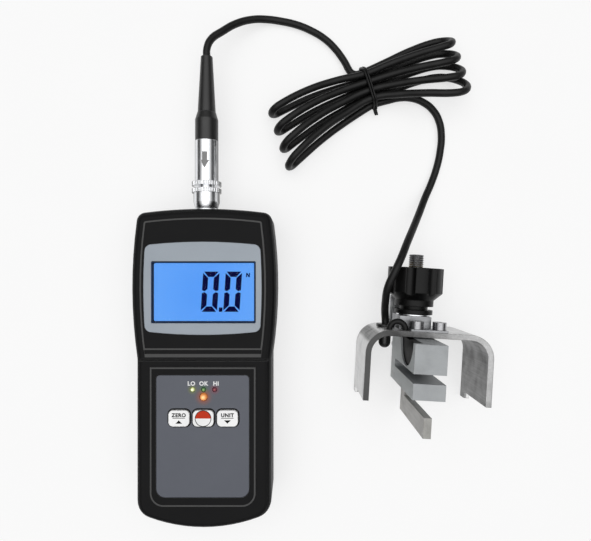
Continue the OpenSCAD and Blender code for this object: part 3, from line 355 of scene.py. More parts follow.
def loop_point(wing, j, mid, a, across, half):
    tip_lean = wing["lean"] + wing["lean_growth"] * j
    lean = math.radians(WAIST_LEAN + (tip_lean - WAIST_LEAN) * smooth(a / loop_run(wing, j)))
    share = a / wing["reach"]
    fanned = mid * (1 + wing["fan"] * share) - wing["sag"] * share * share
    v = fanned - wing["way"] * across * math.cos(lean)
    return (wing["way"] * a, v, low_z(a) + (half + across) * math.sin(lean))


def loop_leg(wing, j, mid, going):
    points = []
    for mark in RUN_MARKS[::going]:
        half = WAIST_HALF + (bend_radius(wing, j) - WAIST_HALF) * smooth(mark)
        across = -going * wing["way"] * half
        points.append(loop_point(wing, j, mid, mark * loop_run(wing, j), across, half))
    return points


def loop(wing, j, mid):
    r = bend_radius(wing, j)
    bend = []
    for mark in BEND_MARKS:
        b = math.radians(mark)
        far = loop_run(wing, j) + r * math.sin(b)
        bend.append(loop_point(wing, j, mid, far, -wing["way"] * r * math.cos(b), r))
    return loop_leg(wing, j, mid, 1) + bend + loop_leg(wing, j, mid, -1)


def waist(v, raised=0.0, along=0.0):
    return (along, v, low_z(0) + raised * 2 * WAIST_HALF * math.sin(math.radians(WAIST_LEAN)))


def from_hank(p):
    u, v, z = p
    return (HANK_X + u * math.cos(HANK_TURN) - v * math.sin(HANK_TURN),
            HANK_Y + u * math.sin(HANK_TURN) + v * math.cos(HANK_TURN), z)


print("loop shape ready")

# %% [markdown]
# The route is the lead, then a loop to the right and one to the left in turn, and then the tail.

# %% Route of the cord
hank = [waist(WAIST_TOP, along=-run) for run in (WAIST_RUN + JOIN_RUN, WAIST_RUN)]
for j in range(LOOP_COUNT):
    v = WAIST_TOP - j * STRAND_PITCH
    hank += [waist(v)] + loop(RIGHT, j, v - STRAND_PITCH / 4)
    hank += [waist(v - STRAND_PITCH / 2, raised=1.0)] + loop(LEFT, j, v - 3 * STRAND_PITCH / 4)
hank += [waist(-WAIST_TOP, along=run) for run in (0, WAIST_RUN, WAIST_RUN + JOIN_RUN)]
route = [BOOT_TIP] + LEAD + [from_hank(p) for p in hank] + TAIL + [GROMMET_TOP]
print("route points", len(route))

# %% [markdown]
# The route's points are joined by a Bezier spline with automatic handles, which passes through every point
# without corners. The rubber has a faint sheen and a little dust, so its roughness and colour vary.

# %% Cord and its rubber
CURVE_STEPS = 6
ROUND_STEPS = 4
DUST_SPOT = 6.0
DUST_FROM = 0.45
DUST_FULL = 0.8
RUBBER_SPOT = 2.5
RUBBER_SPREAD = 0.14
RUBBER_GRAIN = 0.25
RUBBER_DEPTH = 0.012
RUBBER_SHINE = 0.25


def tube(name, lines, diameter):
    """A round wire along one or more lists of points in millimetres."""
    curve = bpy.data.curves.new(name, "CURVE")
    curve.dimensions = "3D"
    curve.bevel_depth = diameter * MM / 2
    curve.bevel_resolution = ROUND_STEPS
    curve.resolution_u = CURVE_STEPS
    curve.use_fill_caps = True
    for points in lines:
        spline = curve.splines.new("BEZIER")
        spline.bezier_points.add(len(points) - 1)
        for knot, point in zip(spline.bezier_points, points):
            knot.co = Vector(point) * MM
            knot.handle_left_type = "AUTO"
            knot.handle_right_type = "AUTO"
    obj = bpy.data.objects.new(name, curve)
    bpy.context.collection.objects.link(obj)
    return obj


def rubber(name, colour, dusty, roughness):
    finish = Finish(name)
    dust = finish.step(finish.noise(DUST_SPOT, detail=5.0), DUST_FROM, DUST_FULL)
    tone = finish.blend(dust, colour, dusty)
    gloss = roughness + RUBBER_SPREAD * finish.noise(RUBBER_SPOT)
    grain = finish.bump(finish.noise(RUBBER_GRAIN, detail=2.0), RUBBER_DEPTH)
    return finish.surface(Base_Color=tone, Roughness=gloss, Normal=grain, Specular_IOR_Level=RUBBER_SHINE)


cord_rubber = rubber("cord_rubber", grey(0.006), dusty=grey(0.011), roughness=0.36)
signal_cord = tube("signal_cord", [route], CORD_D)
signal_cord.data.materials.append(cord_rubber)
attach(signal_cord, "base")
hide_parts("cord_lead", "cord_hank", "cord_tail")

# %% [markdown]
# ## Wire tie
# A coated wire is wound twice round the hank's waist and its two ends are twisted together.
# The waist's strands fill a trapezium with round corners, so the wire's line is four arcs.

# %% Wire tie
WIRE_D = 1.0
TIE_GAP = 0.15
TIE_TURNS = 2
TIE_PITCH = 1.15
CORNER_STEP = 30
TWIST_L = 2.8
TWIST_TURNS = 1.5
TWIST_STEPS = 20

tie_r = CORD_D / 2 + TIE_GAP + WIRE_D / 2
low_row = waist(0)[2]
high_row = waist(0, raised=1.0)[2]
high_half = WAIST_TOP - STRAND_PITCH / 2
slope = round(math.degrees(math.atan2(WAIST_TOP - high_half, high_row - low_row)))
corners = [(WAIST_TOP, low_row, -90, slope), (high_half, high_row, slope, 90),
           (-high_half, high_row, 90, 180 - slope), (-WAIST_TOP, low_row, 180 - slope, 270)]
ring = []
for v, z, start, end in corners:
    steps = max(2, (end - start) // CORNER_STEP)
    for i in range(steps + 1):
        a = math.radians(start + (end - start) * i / steps)
        ring.append((v + tie_r * math.cos(a), z + tie_r * math.sin(a)))
wound = []
for i in range(TIE_TURNS * len(ring)):
    along = TIE_PITCH * (i / len(ring) - TIE_TURNS / 2)
    wound.append(from_hank((along, *ring[i % len(ring)])))
ends = []
for start in (0.0, math.pi):
    twist = []
    for i in range(TWIST_STEPS + 1):
        share = i / TWIST_STEPS
        a = start + TWIST_TURNS * 2 * math.pi * share
        twist.append(from_hank((WIRE_D / 2 * math.cos(a), -WAIST_TOP - tie_r - TWIST_L * share,
                                low_row + WIRE_D / 2 * math.sin(a))))
    ends.append(twist)
wire_tie = tube("wire_tie", [wound] + ends, WIRE_D)
tie_coating = rubber("tie_coating", grey(0.007), dusty=grey(0.013), roughness=0.3)
wire_tie.data.materials.append(tie_coating)
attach(wire_tie, "base")
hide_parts("cord_tie")
print("tie corners", len(ring))

# %% [markdown]
# ## Moulded plastic
# The case, keys and knob are injection moulded. Moulded plastic has a fine grain from the tool's
# spark-eroded surface, and its edges are slightly rounded and catch the light.
# The CAD edges are sharp, so a Bevel node rounds them in the shading, and the same node marks where the
# edges are. There the colour gets a painted highlight, a lighter edge colour laid on unevenly, and the
# gloss is raised.

# %% Plastic finishes
HIGHLIGHT_LEAST = 0.6
HIGHLIGHT_SPOT = 5.0
RUB_POLISH = 0.08
MOTTLE_SPOT = 12.0
MOTTLE_DARK = 0.85
MOTTLE_PALE = 1.15
PLASTIC_SPOT = 3.0
PLASTIC_SPREAD = 0.12


def moulded(name, colour, edge, roughness, grain=0.35, depth=0.02, radius=0.4, shine=0.5):
    """Plastic with a painted highlight on its edges, which are polished too. Grain, depth and radius are in
    millimetres.
    """
    finish = Finish(name)
    normal = finish.rounded(radius)
    # Painted highlight: the edge mask, a little uneven, blends the body towards the lighter edge colour.
    edge_highlight = finish.edges(normal) * (HIGHLIGHT_LEAST + (1 - HIGHLIGHT_LEAST) * finish.noise(HIGHLIGHT_SPOT))
    mottle = finish.noise(MOTTLE_SPOT, detail=4.0)
    body = finish.blend(mottle, scaled(colour, MOTTLE_DARK), scaled(colour, MOTTLE_PALE))
    tone = finish.blend(edge_highlight, body, edge)
    gloss = roughness + PLASTIC_SPREAD * finish.noise(PLASTIC_SPOT) - RUB_POLISH * edge_highlight
    skin = finish.bump(finish.noise(grain, detail=2.0), depth, normal)
    return finish.surface(Base_Color=tone, Roughness=gloss, Normal=skin, Specular_IOR_Level=shine)


def dress(material, *nodes):
    """Gives CAD nodes a material."""
    for name in nodes:
        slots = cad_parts[name].data.materials
        slots.clear()
        slots.append(material)


dress(moulded("case_plastic", (0.0075, 0.0075, 0.008), edge=grey(0.13), roughness=0.42, shine=0.085),
      "front_shell", "rear_shell", "battery_door")
dress(moulded("knob_plastic", grey(0.003), edge=grey(0.02), roughness=0.28, depth=0.012, radius=0.7,
              shine=0.18), "knob")
dress(moulded("switch_plastic", grey(0.02), edge=grey(0.05), roughness=0.5, radius=0.2), "key_switches")
dress(moulded("key_plastic", grey(0.95), edge=grey(0.97), roughness=0.3, depth=0.006, radius=0.6),
      "left_key", "power_key", "right_key")
dress(moulded("insert_plastic", (0.75, 0.7, 0.58), edge=(0.8, 0.75, 0.63), roughness=0.35, radius=0.2),
      "plug_insert")
dress(moulded("backlight_plastic", (0.8, 0.84, 0.9), edge=grey(0.9), roughness=0.25, radius=0.3),
      "backlight")
dress(moulded("boot_rubber", grey(0.006), edge=grey(0.014), roughness=0.32, grain=0.3, depth=0.012,
              radius=0.5, shine=0.6), "plug_collar", "plug_boot", "cord_grommet")
dress(cord_rubber, "sensor_lead")
dress(moulded("potting_resin", grey(0.001), edge=grey(0.002), roughness=0.25, grain=2.5, depth=0.06,
              shine=0.02), "gauge_potting")
print("plastic done")

# %% [markdown]
# ## Metals
# Bare metal shows how it was made: rolled sheet has strokes along one direction, and a milled block has
# finer ones. Some pieces get painted light and shade as a second colour, as in the photo: the left sides of
# the load cell and the blade are painted paler, as if lit from the left, and the plug's sides and the outer
# ends of its rings get a painted shade, which stands for the dark reflection there.

# %% Painted light and shade on some metals
LEFT_FROM = 0.5
LEFT_FULL = 0.8
SIDE_FROM = 0.8
SIDE_FULL = 0.97
RING_FROM = 0.8
RING_FULL = 0.9
ABSOLUTE = {"operation": "ABSOLUTE"}


def sideways(finish):
    true_normal = finish.node("ShaderNodeNewGeometry", output="True Normal")
    return finish.node("ShaderNodeSeparateXYZ", {}, {0: true_normal}, output="X")


def left_side(finish):
    """1 on the faces that look left."""
    return finish.step(0 - sideways(finish), LEFT_FROM, LEFT_FULL)


# Painted shade: this mask darkens the plug's sides and its rings' outer ends, standing for a dark
# reflection.
def plug_sides(finish):
    """1 on the plug's faces that look left or right, and on the outer ends of its rings."""
    low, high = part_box("plug_sleeve")
    middle = (low[0] + high[0]) / 2
    half = (high[0] - low[0]) / 2
    turned = finish.node("ShaderNodeMath", ABSOLUTE, {0: sideways(finish)})
    place_x = finish.node("ShaderNodeSeparateXYZ", {}, {0: finish.place()}, output="X")
    aside = finish.node("ShaderNodeMath", ABSOLUTE, {0: place_x - middle})
    plain = 1 - finish.step(turned, SIDE_FROM, SIDE_FULL)
    return 1 - plain * (1 - finish.step(aside, RING_FROM * half, RING_FULL * half))


print("second tones ready")

# %% [markdown]
# The bracket is bent sheet. In the photo its inner faces are darker than its outer ones, and here they get
# a painted shade. Its cut front edge is darker too, and gets paler to the right. The faces are told apart
# by their place.

# %% Inside of the bracket
PROBE_TURN = math.radians(3.3)
SHEET_T = 2.5
PLATE_Y = 17.3
PROBE_X = 97.5
BRACKET_OFF = 4.4
BRACKET_HALF = 28.45
BRACKET_FRONT = 31.7
NEAR_SKIN = 0.3
FAR_SKIN = 0.7
EDGE_BLUR = 0.2
INNER_SHADE = 0.72
CUT_FADE = 0.6


def inside_bracket(finish):
    """Share of darkness on the bracket's inner faces and on its cut front edge."""
    spot = finish.place()
    across_way = Vector((math.cos(PROBE_TURN), -math.sin(PROBE_TURN), 0.0))
    along_way = Vector((math.sin(PROBE_TURN), math.cos(PROBE_TURN), 0.0))
    pivot = Vector((PROBE_X, PLATE_Y, 0.0)) * MM
    dot = {"operation": "DOT_PRODUCT"}
    across = finish.node("ShaderNodeVectorMath", dot, {0: spot, 1: across_way}, output="Value")
    along = finish.node("ShaderNodeVectorMath", dot, {0: spot, 1: along_way}, output="Value")
    height = finish.node("ShaderNodeSeparateXYZ", {}, {0: spot}, output="Z")
    middle = pivot.dot(across_way) + BRACKET_OFF * MM
    aside = finish.node("ShaderNodeMath", ABSOLUTE, {0: across - middle})
    between = 1 - finish.step(aside, (BRACKET_HALF - FAR_SKIN * SHEET_T) * MM,
                              (BRACKET_HALF - NEAR_SKIN * SHEET_T) * MM)
    depth = pivot.dot(along_way) - along
    below = finish.step(depth, NEAR_SKIN * SHEET_T * MM, FAR_SKIN * SHEET_T * MM)
    front = finish.step(height, (BRACKET_FRONT - EDGE_BLUR) * MM, BRACKET_FRONT * MM)
    fade = 1 - CUT_FADE * finish.step(across - middle, -BRACKET_HALF * MM, BRACKET_HALF * MM)
    # Painted shade on the inner faces; the cut front edge gets a darker tone that fades to the right.
    return INNER_SHADE * between * below * (1 - front) + fade * front


print("bracket shading ready")

# %% [markdown]
# One recipe covers all the metals: noise drawn out along the stroke changes colour and roughness together,
# large soft spots stand for handling, and the edges get a painted highlight, a brighter copy of the colour.

# %% Metal finishes
ALONG_X = (30.0, 1.0, 1.0)
ALONG_Y = (1.0, 30.0, 1.0)
ALONG_Z = (1.0, 1.0, 30.0)
EVEN = (1.0, 1.0, 1.0)
STROKE_FROM = 0.25
STROKE_FULL = 0.75
STAIN_SPOT = 7.0
STAIN_FROM = 0.4
STAIN_FULL = 0.75
EDGE_SHARE = 0.5
EDGE_GAIN = 1.5
STROKE_ROUGH = 0.15
STAIN_ROUGH = 0.12


def worked_metal(name, colour, stroke, roughness, size=0.5, spread=0.25, stain=0.2, radius=0.25,
                 depth=0.008, shaded=None, metallic=1.0, deep=0.45, second=None):
    """Metal with strokes and stains. Its darkest tone is the colour times deep."""
    finish = Finish(name)
    normal = finish.rounded(radius)
    lines = finish.noise(size, detail=4.0, stretch=stroke)
    spots = finish.step(finish.noise(STAIN_SPOT, detail=5.0), STAIN_FROM, STAIN_FULL)
    edge_highlight = finish.edges(normal)
    shade = finish.step(lines, STROKE_FROM, STROKE_FULL) * spread + stain * spots
    if shaded:
        shade = shade + shaded(finish)
    body = finish.blend(shade, colour, scaled(colour, deep))
    # The second colour is painted light on some faces: paler on the cell and blade, darker on the plug.
    if second:
        painted_light_colour, where = second
        painted_light_body = finish.blend(shade, painted_light_colour, scaled(painted_light_colour, deep))
        body = finish.blend(where(finish), body, painted_light_body)
    # Painted highlight: the edges are blended towards a brighter copy of the colour.
    tone = finish.blend(edge_highlight * EDGE_SHARE, body, tuple(min(1.0, EDGE_GAIN * c) for c in colour))
    gloss = roughness + STROKE_ROUGH * lines + STAIN_ROUGH * spots
    skin = finish.bump(lines, depth, normal)
    return finish.surface(Base_Color=tone, Metallic=metallic, Roughness=gloss, Normal=skin)


# Painted light: the left sides of the load cell and the blade get these paler colours, as if lit from the
# left.
CELL_PAINTED_LIGHT = (0.57, 0.6, 0.6)
BLADE_PAINTED_LIGHT = (0.5, 0.49, 0.47)
PLUG_PAINTED_SHADE = grey(0.2)
PLATING = {"colour": (0.82, 0.83, 0.85), "stroke": ALONG_Y, "roughness": 0.09, "size": 0.4, "spread": 0.06,
           "stain": 0.08, "depth": 0.002}
dress(worked_metal("bracket_sheet", grey(0.66), ALONG_Z, roughness=0.3, size=0.6, spread=0.08, stain=0.12,
                   radius=0.4, shaded=inside_bracket, deep=0.1), "bracket")
dress(worked_metal("block_metal", (0.35, 0.355, 0.365), ALONG_X, roughness=0.35, size=0.3), "guide_block")
dress(worked_metal("tongue_metal", (0.62, 0.63, 0.64), ALONG_Y, roughness=0.32, size=0.4), "guide_tongue")
dress(worked_metal("cell_metal", (0.36, 0.375, 0.385), ALONG_Z, roughness=0.36, size=0.25, spread=0.15,
                   stain=0.12, metallic=0.25, second=(CELL_PAINTED_LIGHT, left_side)), "load_cell")
dress(worked_metal("blade_steel", (0.37, 0.365, 0.345), ALONG_Z, roughness=0.36, size=0.4, stain=0.3,
                   metallic=0.3, second=(BLADE_PAINTED_LIGHT, left_side)), "hook_blade", "blade_pins")
dress(worked_metal("stud_steel", (0.3, 0.3, 0.305), EVEN, roughness=0.34, size=0.8, radius=0.12), "stud")
dress(worked_metal("screw_steel", (0.5, 0.5, 0.51), EVEN, roughness=0.3, size=0.6),
      "case_screws", "tongue_screws")
dress(worked_metal("cap_screw_steel", (0.36, 0.36, 0.37), EVEN, roughness=0.16, size=0.8), "foot_screws")
dress(worked_metal("insert_brass", (0.7, 0.5, 0.2), EVEN, roughness=0.28, size=0.5), "knob_insert")
dress(worked_metal("plated_metal", **PLATING, second=(PLUG_PAINTED_SHADE, plug_sides)), "plug_sleeve", "plug_body")
dress(worked_metal("bright_metal", **PLATING), "socket_body", "socket_nut", "thrust_washer",
      "battery_contacts")
print("metals done")

# %% [markdown]
# ## Painted bezel, label, board and cells
# The bezel is sprayed silver, so tiny flakes sparkle in its colour. The label is a printed grey film.
# The board is green varnish over copper, and the cells have a plain wrap with a metal sheen.
# Round each lamp close by, the film gets a painted glow in that lamp's colour.

# %% Painted and printed finishes
FLAKE_FROM = 0.5
FLAKE_FULL = 0.75
FLAKE_DEPTH = 0.004
CLOUD_SPOT = 15.0
CLOUD_DARK = 0.93
CLOUD_PALE = 1.06
PAINT_SPOT = 4.0
PAINT_SPREAD = 0.1
PAINTED_GLOW_SHARE = 0.85
PAINTED_LAMP_GLOWS = (("low_lamp", (0.17, 0.2, 0.03), 2.8), ("ok_lamp", (0.05, 0.15, 0.05), 2.8),
              ("high_lamp", (0.22, 0.04, 0.07), 2.8), ("power_lamp", (0.36, 0.07, 0.01), 4.6))
FLAT = (1.0, 1.0, 0.0)


def centre_of(node):
    low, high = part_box(node)
    return [(a + b) / 2 for a, b in zip(low, high)]


def distance_from(finish, point, reach):
    """0 at a point and 1 at that reach from it, looking down Z."""
    flat = finish.node("ShaderNodeVectorMath", {"operation": "MULTIPLY"}, {0: finish.place(), 1: FLAT})
    gap = finish.node("ShaderNodeVectorMath", {"operation": "DISTANCE"},
                      {0: flat, 1: (point[0], point[1], 0.0)}, output="Value")
    return finish.step(gap, 0.0, reach)


def painted(name, colour, flake, roughness, size=0.12, spread=1.2, metallic=0.0, radius=0.3, painted_glows=()):
    """Paint with flakes, whose colour is the paint's times spread, and with a painted glow round lamps
    close by.
    """
    finish = Finish(name)
    normal = finish.rounded(radius)
    flakes = finish.step(finish.noise(size, detail=1.0), FLAKE_FROM, FLAKE_FULL)
    cloud = finish.noise(CLOUD_SPOT)
    body = finish.blend(cloud, scaled(colour, CLOUD_DARK), scaled(colour, CLOUD_PALE))
    tone = finish.blend(flakes * flake, body, scaled(colour, spread))
    # Painted light: a glow of each lamp's colour, fading out over its reach.
    for node, lamp_colour, reach in painted_glows:
        near = 1 - distance_from(finish, centre_of(node), reach * MM)
        tone = finish.blend(near * PAINTED_GLOW_SHARE, tone, lamp_colour)
    gloss = roughness + PAINT_SPREAD * finish.noise(PAINT_SPOT)
    skin = finish.bump(flakes, FLAKE_DEPTH, normal)
    return finish.surface(Base_Color=tone, Metallic=metallic, Roughness=gloss, Normal=skin)


dress(painted("bezel_silver", (0.29, 0.325, 0.365), flake=0.5, roughness=0.38, metallic=0.25),
      "display_bezel")
dress(painted("label_film", (0.084, 0.092, 0.116), flake=0.25, roughness=0.42, size=0.2, painted_glows=PAINTED_LAMP_GLOWS),
      "keypad_label")
dress(painted("board_varnish", (0.012, 0.11, 0.035), flake=0.5, roughness=0.35, size=0.8, spread=1.6),
      "main_board")
dress(painted("cell_wrap", (0.5, 0.52, 0.55), flake=0.3, roughness=0.3, metallic=0.5), "battery_cells")
print("paint done")

# %% [markdown]
# ## Display and lamps
# The panel is lit from behind, so it gives off its own blue, a little paler towards its rim.
# Each lamp is a clear dome: its middle is the bright die, its rim the tinted plastic.
# The window is a clear sheet. Low alpha shows the panel through it and keeps the gloss.

# %% Display and lamp finishes
LENS_ROUGH = 0.15
LENS_SPREAD = 0.05
LENS_SPOT = 0.5
PANEL_BLUE = (0.085, 0.318, 0.91)
PANEL_PALE = (0.115, 0.36, 0.93)
PANEL_DULL = 0.2
PANEL_REACH = 30.0
PANEL_CLOUD = 0.1
PANEL_SPOT = 6.0
PANEL_GLOW = 0.9
PANEL_ROUGH = 0.35
PANEL_SPREAD = 0.05
PANEL_GRAIN = 2.0
PANEL_SHINE = 0.1
WINDOW_TINT = (0.02, 0.03, 0.05, 1.0)
WINDOW_ROUGH = 0.03
WINDOW_SPREAD = 0.04
WINDOW_SPOT = 8.0
WINDOW_ALPHA = 0.02
SMEAR_SPOT = 10.0


def lit_lens(node, core, rim, strength):
    low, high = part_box(node)
    finish = Finish(node + "_lens")
    share = distance_from(finish, centre_of(node), (high[0] - low[0]) / 2)
    tone = finish.blend(share, core, rim)
    gloss = LENS_ROUGH + LENS_SPREAD * finish.noise(LENS_SPOT)
    lens = finish.surface(Base_Color=tone, Emission_Color=tone, Emission_Strength=strength, Roughness=gloss)
    dress(lens, node)


panel = Finish("lit_panel")
panel_share = distance_from(panel, centre_of("lcd_panel"), PANEL_REACH * MM)
panel_tone = panel.blend(panel_share + PANEL_CLOUD * panel.noise(PANEL_SPOT), PANEL_BLUE, PANEL_PALE)
panel_base = panel.blend(PANEL_DULL, grey(0.0), panel_tone)
panel_gloss = PANEL_ROUGH + PANEL_SPREAD * panel.noise(PANEL_GRAIN)
dress(panel.surface(Base_Color=panel_base, Emission_Color=panel_tone, Emission_Strength=PANEL_GLOW,
                    Roughness=panel_gloss, Specular_IOR_Level=PANEL_SHINE), "lcd_panel")
lit_lens("low_lamp", core=(0.9, 0.95, 0.72), rim=(0.5, 0.55, 0.22), strength=0.55)
lit_lens("ok_lamp", core=(0.25, 0.42, 0.12), rim=(0.06, 0.16, 0.07), strength=0.15)
lit_lens("high_lamp", core=(0.3, 0.06, 0.07), rim=(0.16, 0.05, 0.07), strength=0.15)
lit_lens("power_lamp", core=(1.0, 0.58, 0.25), rim=(0.6, 0.2, 0.05), strength=0.45)
window = Finish("clear_window")
window_gloss = WINDOW_ROUGH + WINDOW_SPREAD * window.noise(WINDOW_SPOT)
window.material.surface_render_method = "BLENDED"
window_alpha = WINDOW_ALPHA + WINDOW_ALPHA * window.noise(SMEAR_SPOT)
dress(window.surface(Base_Color=WINDOW_TINT, Roughness=window_gloss, Alpha=window_alpha), "display_window")
print("display lit")

# %% [markdown]
# ## Printed shapes
# The printing is a set of very thin plates that sit on the faces they are printed on.
# A plate starts as one face, whose corners are bevelled and which is then extruded by the ink's thickness.
# An outline is the same face with an inset, its middle taken away.

# %% Printed plates
INK = 0.03
CORNER_SEGMENTS = 6


def raise_faces(bm, faces, height):
    grown = bmesh.ops.extrude_face_region(bm, geom=faces)
    moved = [g for g in grown["geom"] if isinstance(g, bmesh.types.BMVert)]
    bmesh.ops.translate(bm, vec=(0, 0, height), verts=moved)


def plate(bm, points, z, height=INK):
    """A flat shape through a few corners."""
    face = bm.faces.new([bm.verts.new((x, y, z)) for x, y in points])
    raise_faces(bm, [face], height)


def bar(bm, x, y, w, h, z):
    """A rectangle whose lower left corner is at that place."""
    plate(bm, [(x, y), (x + w, y), (x + w, y + h), (x, y + h)], z)


def faces_round(verts):
    """The faces at some vertices, each once."""
    return list(dict.fromkeys(f for v in verts for f in v.link_faces))


def rounded_face(bm, x, y, w, l, corner, z):
    half_w = w / 2
    half_l = l / 2
    around = [(-half_w, -half_l), (half_w, -half_l), (half_w, half_l), (-half_w, half_l)]
    verts = [bm.verts.new((x + dx, y + dy, z)) for dx, dy in around]
    bm.faces.new(verts)
    cut = bmesh.ops.bevel(bm, geom=verts, affect="VERTICES", offset=corner, segments=CORNER_SEGMENTS,
                          profile=0.5, material=-1)
    return faces_round(cut["verts"])


def hollow(bm, faces, width):
    """A raised band of that width along the outer edge of some faces, whose middle is taken away."""
    band = bmesh.ops.inset_region(bm, faces=faces, thickness=width, use_boundary=True,
                                  use_even_offset=True)["faces"]
    bmesh.ops.delete(bm, geom=faces, context="FACES")
    raise_faces(bm, band, INK)


def outline(bm, x, y, w, l, corner, width, z):
    """A frame of that width whose outer edge has that size."""
    faces = rounded_face(bm, x, y, w, l, corner, z)
    hollow(bm, faces, width)


print("plates ready")

# %% [markdown]
# A set of plates becomes one piece, which rides on a body of the frame and so moves with that body.
# Printed ink is never quite even, so its colour and gloss vary a little.

# %% Pieces and inks
WELD = 0.00001
INK_SPOT = 0.8
INK_DARK = 0.9
INK_PALE = 1.1
INK_ROUGH = 0.4
INK_GLOSS_SPOT = 2.0
INK_SPREAD = 0.1


def piece(name, bm, material, body):
    """A mesh piece made from a bmesh in millimetres."""
    bmesh.ops.remove_doubles(bm, verts=bm.verts, dist=WELD)
    bmesh.ops.scale(bm, vec=(MM, MM, MM), verts=bm.verts)
    bmesh.ops.recalc_face_normals(bm, faces=bm.faces)
    mesh = bpy.data.meshes.new(name)
    bm.to_mesh(mesh)
    bm.free()
    mesh.materials.append(material)
    obj = bpy.data.objects.new(name, mesh)
    bpy.context.collection.objects.link(obj)
    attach(obj, body)
    print(name, len(mesh.polygons), "faces")


def spot_of(node):
    """The middle of a CAD node from above, in millimetres."""
    return [c / MM for c in centre_of(node)[:2]]


def ink(name, colour, shine=0.12):
    """Printing ink: slightly uneven in colour and gloss."""
    finish = Finish(name)
    tone = finish.blend(finish.noise(INK_SPOT), scaled(colour, INK_DARK), scaled(colour, INK_PALE))
    gloss = INK_ROUGH + INK_SPREAD * finish.noise(INK_GLOSS_SPOT)
    return finish.surface(Base_Color=tone, Roughness=gloss, Specular_IOR_Level=shine)


black_ink = ink("black_ink", grey(0.006))
line_ink = ink("line_ink", (0.006, 0.02, 0.06))
arrow_enamel = ink("arrow_enamel", grey(0.26))
white_ink = ink("white_ink", grey(0.8))
red_ink = ink("red_ink", (0.55, 0.035, 0.008))
navy_ink = ink("navy_ink", (0.001, 0.001, 0.045), shine=0.01)
print("inks ready")

# %% [markdown]
# ## Figures of the display
# A figure has seven bars, and a nought shows six of them. Each bar is a long plate with slanted ends.
# All bars are made upright and then sheared together, because the real figures lean a little to the right.

# %% Display figures
FIGURE_W = 7.4
FIGURE_H = 18.2
BAR = 2.4
BAR_GAP = 0.22
END_GAP = 2 * BAR_GAP
CORNER_GAP = 3 * BAR_GAP
FIGURE_XS = (-1.1, 9.1)
FIGURE_Y = 25.9
LEAN = 0.065
POINT_W = 1.6
POINT_H = 1.95
POINT_X = 7.9
UNIT_X = 18.4
UNIT_Y = 41.6
UNIT_W = 1.7
UNIT_H = 1.9
UNIT_BAR = 0.5
panel_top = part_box("lcd_panel")[1][2] / MM


def nought(bm, x, y, z):
    """The six bars round a figure, whose lower left corner is at that place."""
    right = x + FIGURE_W
    top = y + FIGURE_H
    middle = y + FIGURE_H / 2
    for base, sign in ((y, 1), (top, -1)):
        plate(bm, [(x + END_GAP, base), (right - END_GAP, base), (right - BAR, base + sign * BAR),
                   (x + BAR, base + sign * BAR)], z)
    for edge, sign in ((x, 1), (right, -1)):
        for start, way in ((y, 1), (top, -1)):
            plate(bm, [(edge, start + way * CORNER_GAP), (edge, middle - way * CORNER_GAP),
                       (edge + sign * BAR / 2, middle - way * BAR_GAP),
                       (edge + sign * BAR, middle - way * BAR / 2),
                       (edge + sign * BAR, start + way * (BAR + END_GAP))], z)


figures = bmesh.new()
for x in FIGURE_XS:
    nought(figures, x, FIGURE_Y, panel_top)
bar(figures, POINT_X - POINT_W / 2, FIGURE_Y, POINT_W, POINT_H, panel_top)
for x in (UNIT_X, UNIT_X + UNIT_W - UNIT_BAR):
    bar(figures, x, UNIT_Y, UNIT_BAR, UNIT_H, panel_top)
plate(figures, [(UNIT_X, UNIT_Y + UNIT_H), (UNIT_X + UNIT_W - UNIT_BAR, UNIT_Y), (UNIT_X + UNIT_W, UNIT_Y),
                (UNIT_X + UNIT_BAR, UNIT_Y + UNIT_H)], panel_top + INK)
shear = Matrix.Identity(4)
shear[0][1] = LEAN
shear[0][3] = -LEAN * FIGURE_Y
bmesh.ops.transform(figures, matrix=shear, verts=figures.verts)
piece("display_figures", figures, navy_ink, "base")

# %% [markdown]
# The dark line round the panel is printed on the window's upper face, close to its rim.

# %% Line round the window
LINE_W = 0.5
LINE_INSET = 0.1
LINE_CORNER = 0.5
window_low, window_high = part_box("display_window")
window_x, window_y = spot_of("display_window")
window_w = (window_high[0] - window_low[0]) / MM - 2 * LINE_INSET
window_l = (window_high[1] - window_low[1]) / MM - 2 * LINE_INSET
border = bmesh.new()
outline(border, window_x, window_y, window_w, window_l, LINE_CORNER, LINE_W, window_high[2] / MM)
piece("window_line", border, line_ink, "base")

# %% [markdown]
# ## Words
# Letters start as a text curve, which Blender can make bolder, thicken and turn into a mesh.

# %% Words
WORD_BOLD = 0.045
WORD_SPACE = 1.12


def word(bm, text, x, y, z, size):
    """Letters as a thin mesh. The flat text is made a mesh before it gets its place."""
    curve = bpy.data.curves.new("word", "FONT")
    curve.body = text
    curve.size = size
    curve.align_x = "CENTER"
    curve.offset = size * WORD_BOLD
    curve.space_character = WORD_SPACE
    curve.extrude = INK / 2
    obj = bpy.data.objects.new("word", curve)
    bpy.context.collection.objects.link(obj)
    mesh = obj.to_mesh()
    mesh.transform(Matrix.Translation((x, y, z + INK / 2)))
    bm.from_mesh(mesh)
    obj.to_mesh_clear()
    bpy.data.objects.remove(obj)
    bpy.data.curves.remove(curve)


print("words ready")

# %% [markdown]
# ## Key legends
# Each key has a black outline on the label round it. The outer two have a triangle up or down on their cap,
# and over it a short bar and a word for the key's function.
# The signs ride on their keys, so they go down when a key is pressed.

# %% Key outlines and signs
KEY_W = 9.3
KEY_L = 7.2
KEY_CORNER = 2.0
OUTLINE_W = 0.55
OUTLINE_GAP = 0.16
SIGN_W = 3.0
SIGN_H = 1.5
SIGN_DROP = 2.3
RULE_W = 5.6
RULE_H = 0.25
WORD_SIZE = 2.3
WORD_LIFT = 0.7
label_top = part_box("keypad_label")[1][2] / MM
cap_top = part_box("power_key")[1][2] / MM

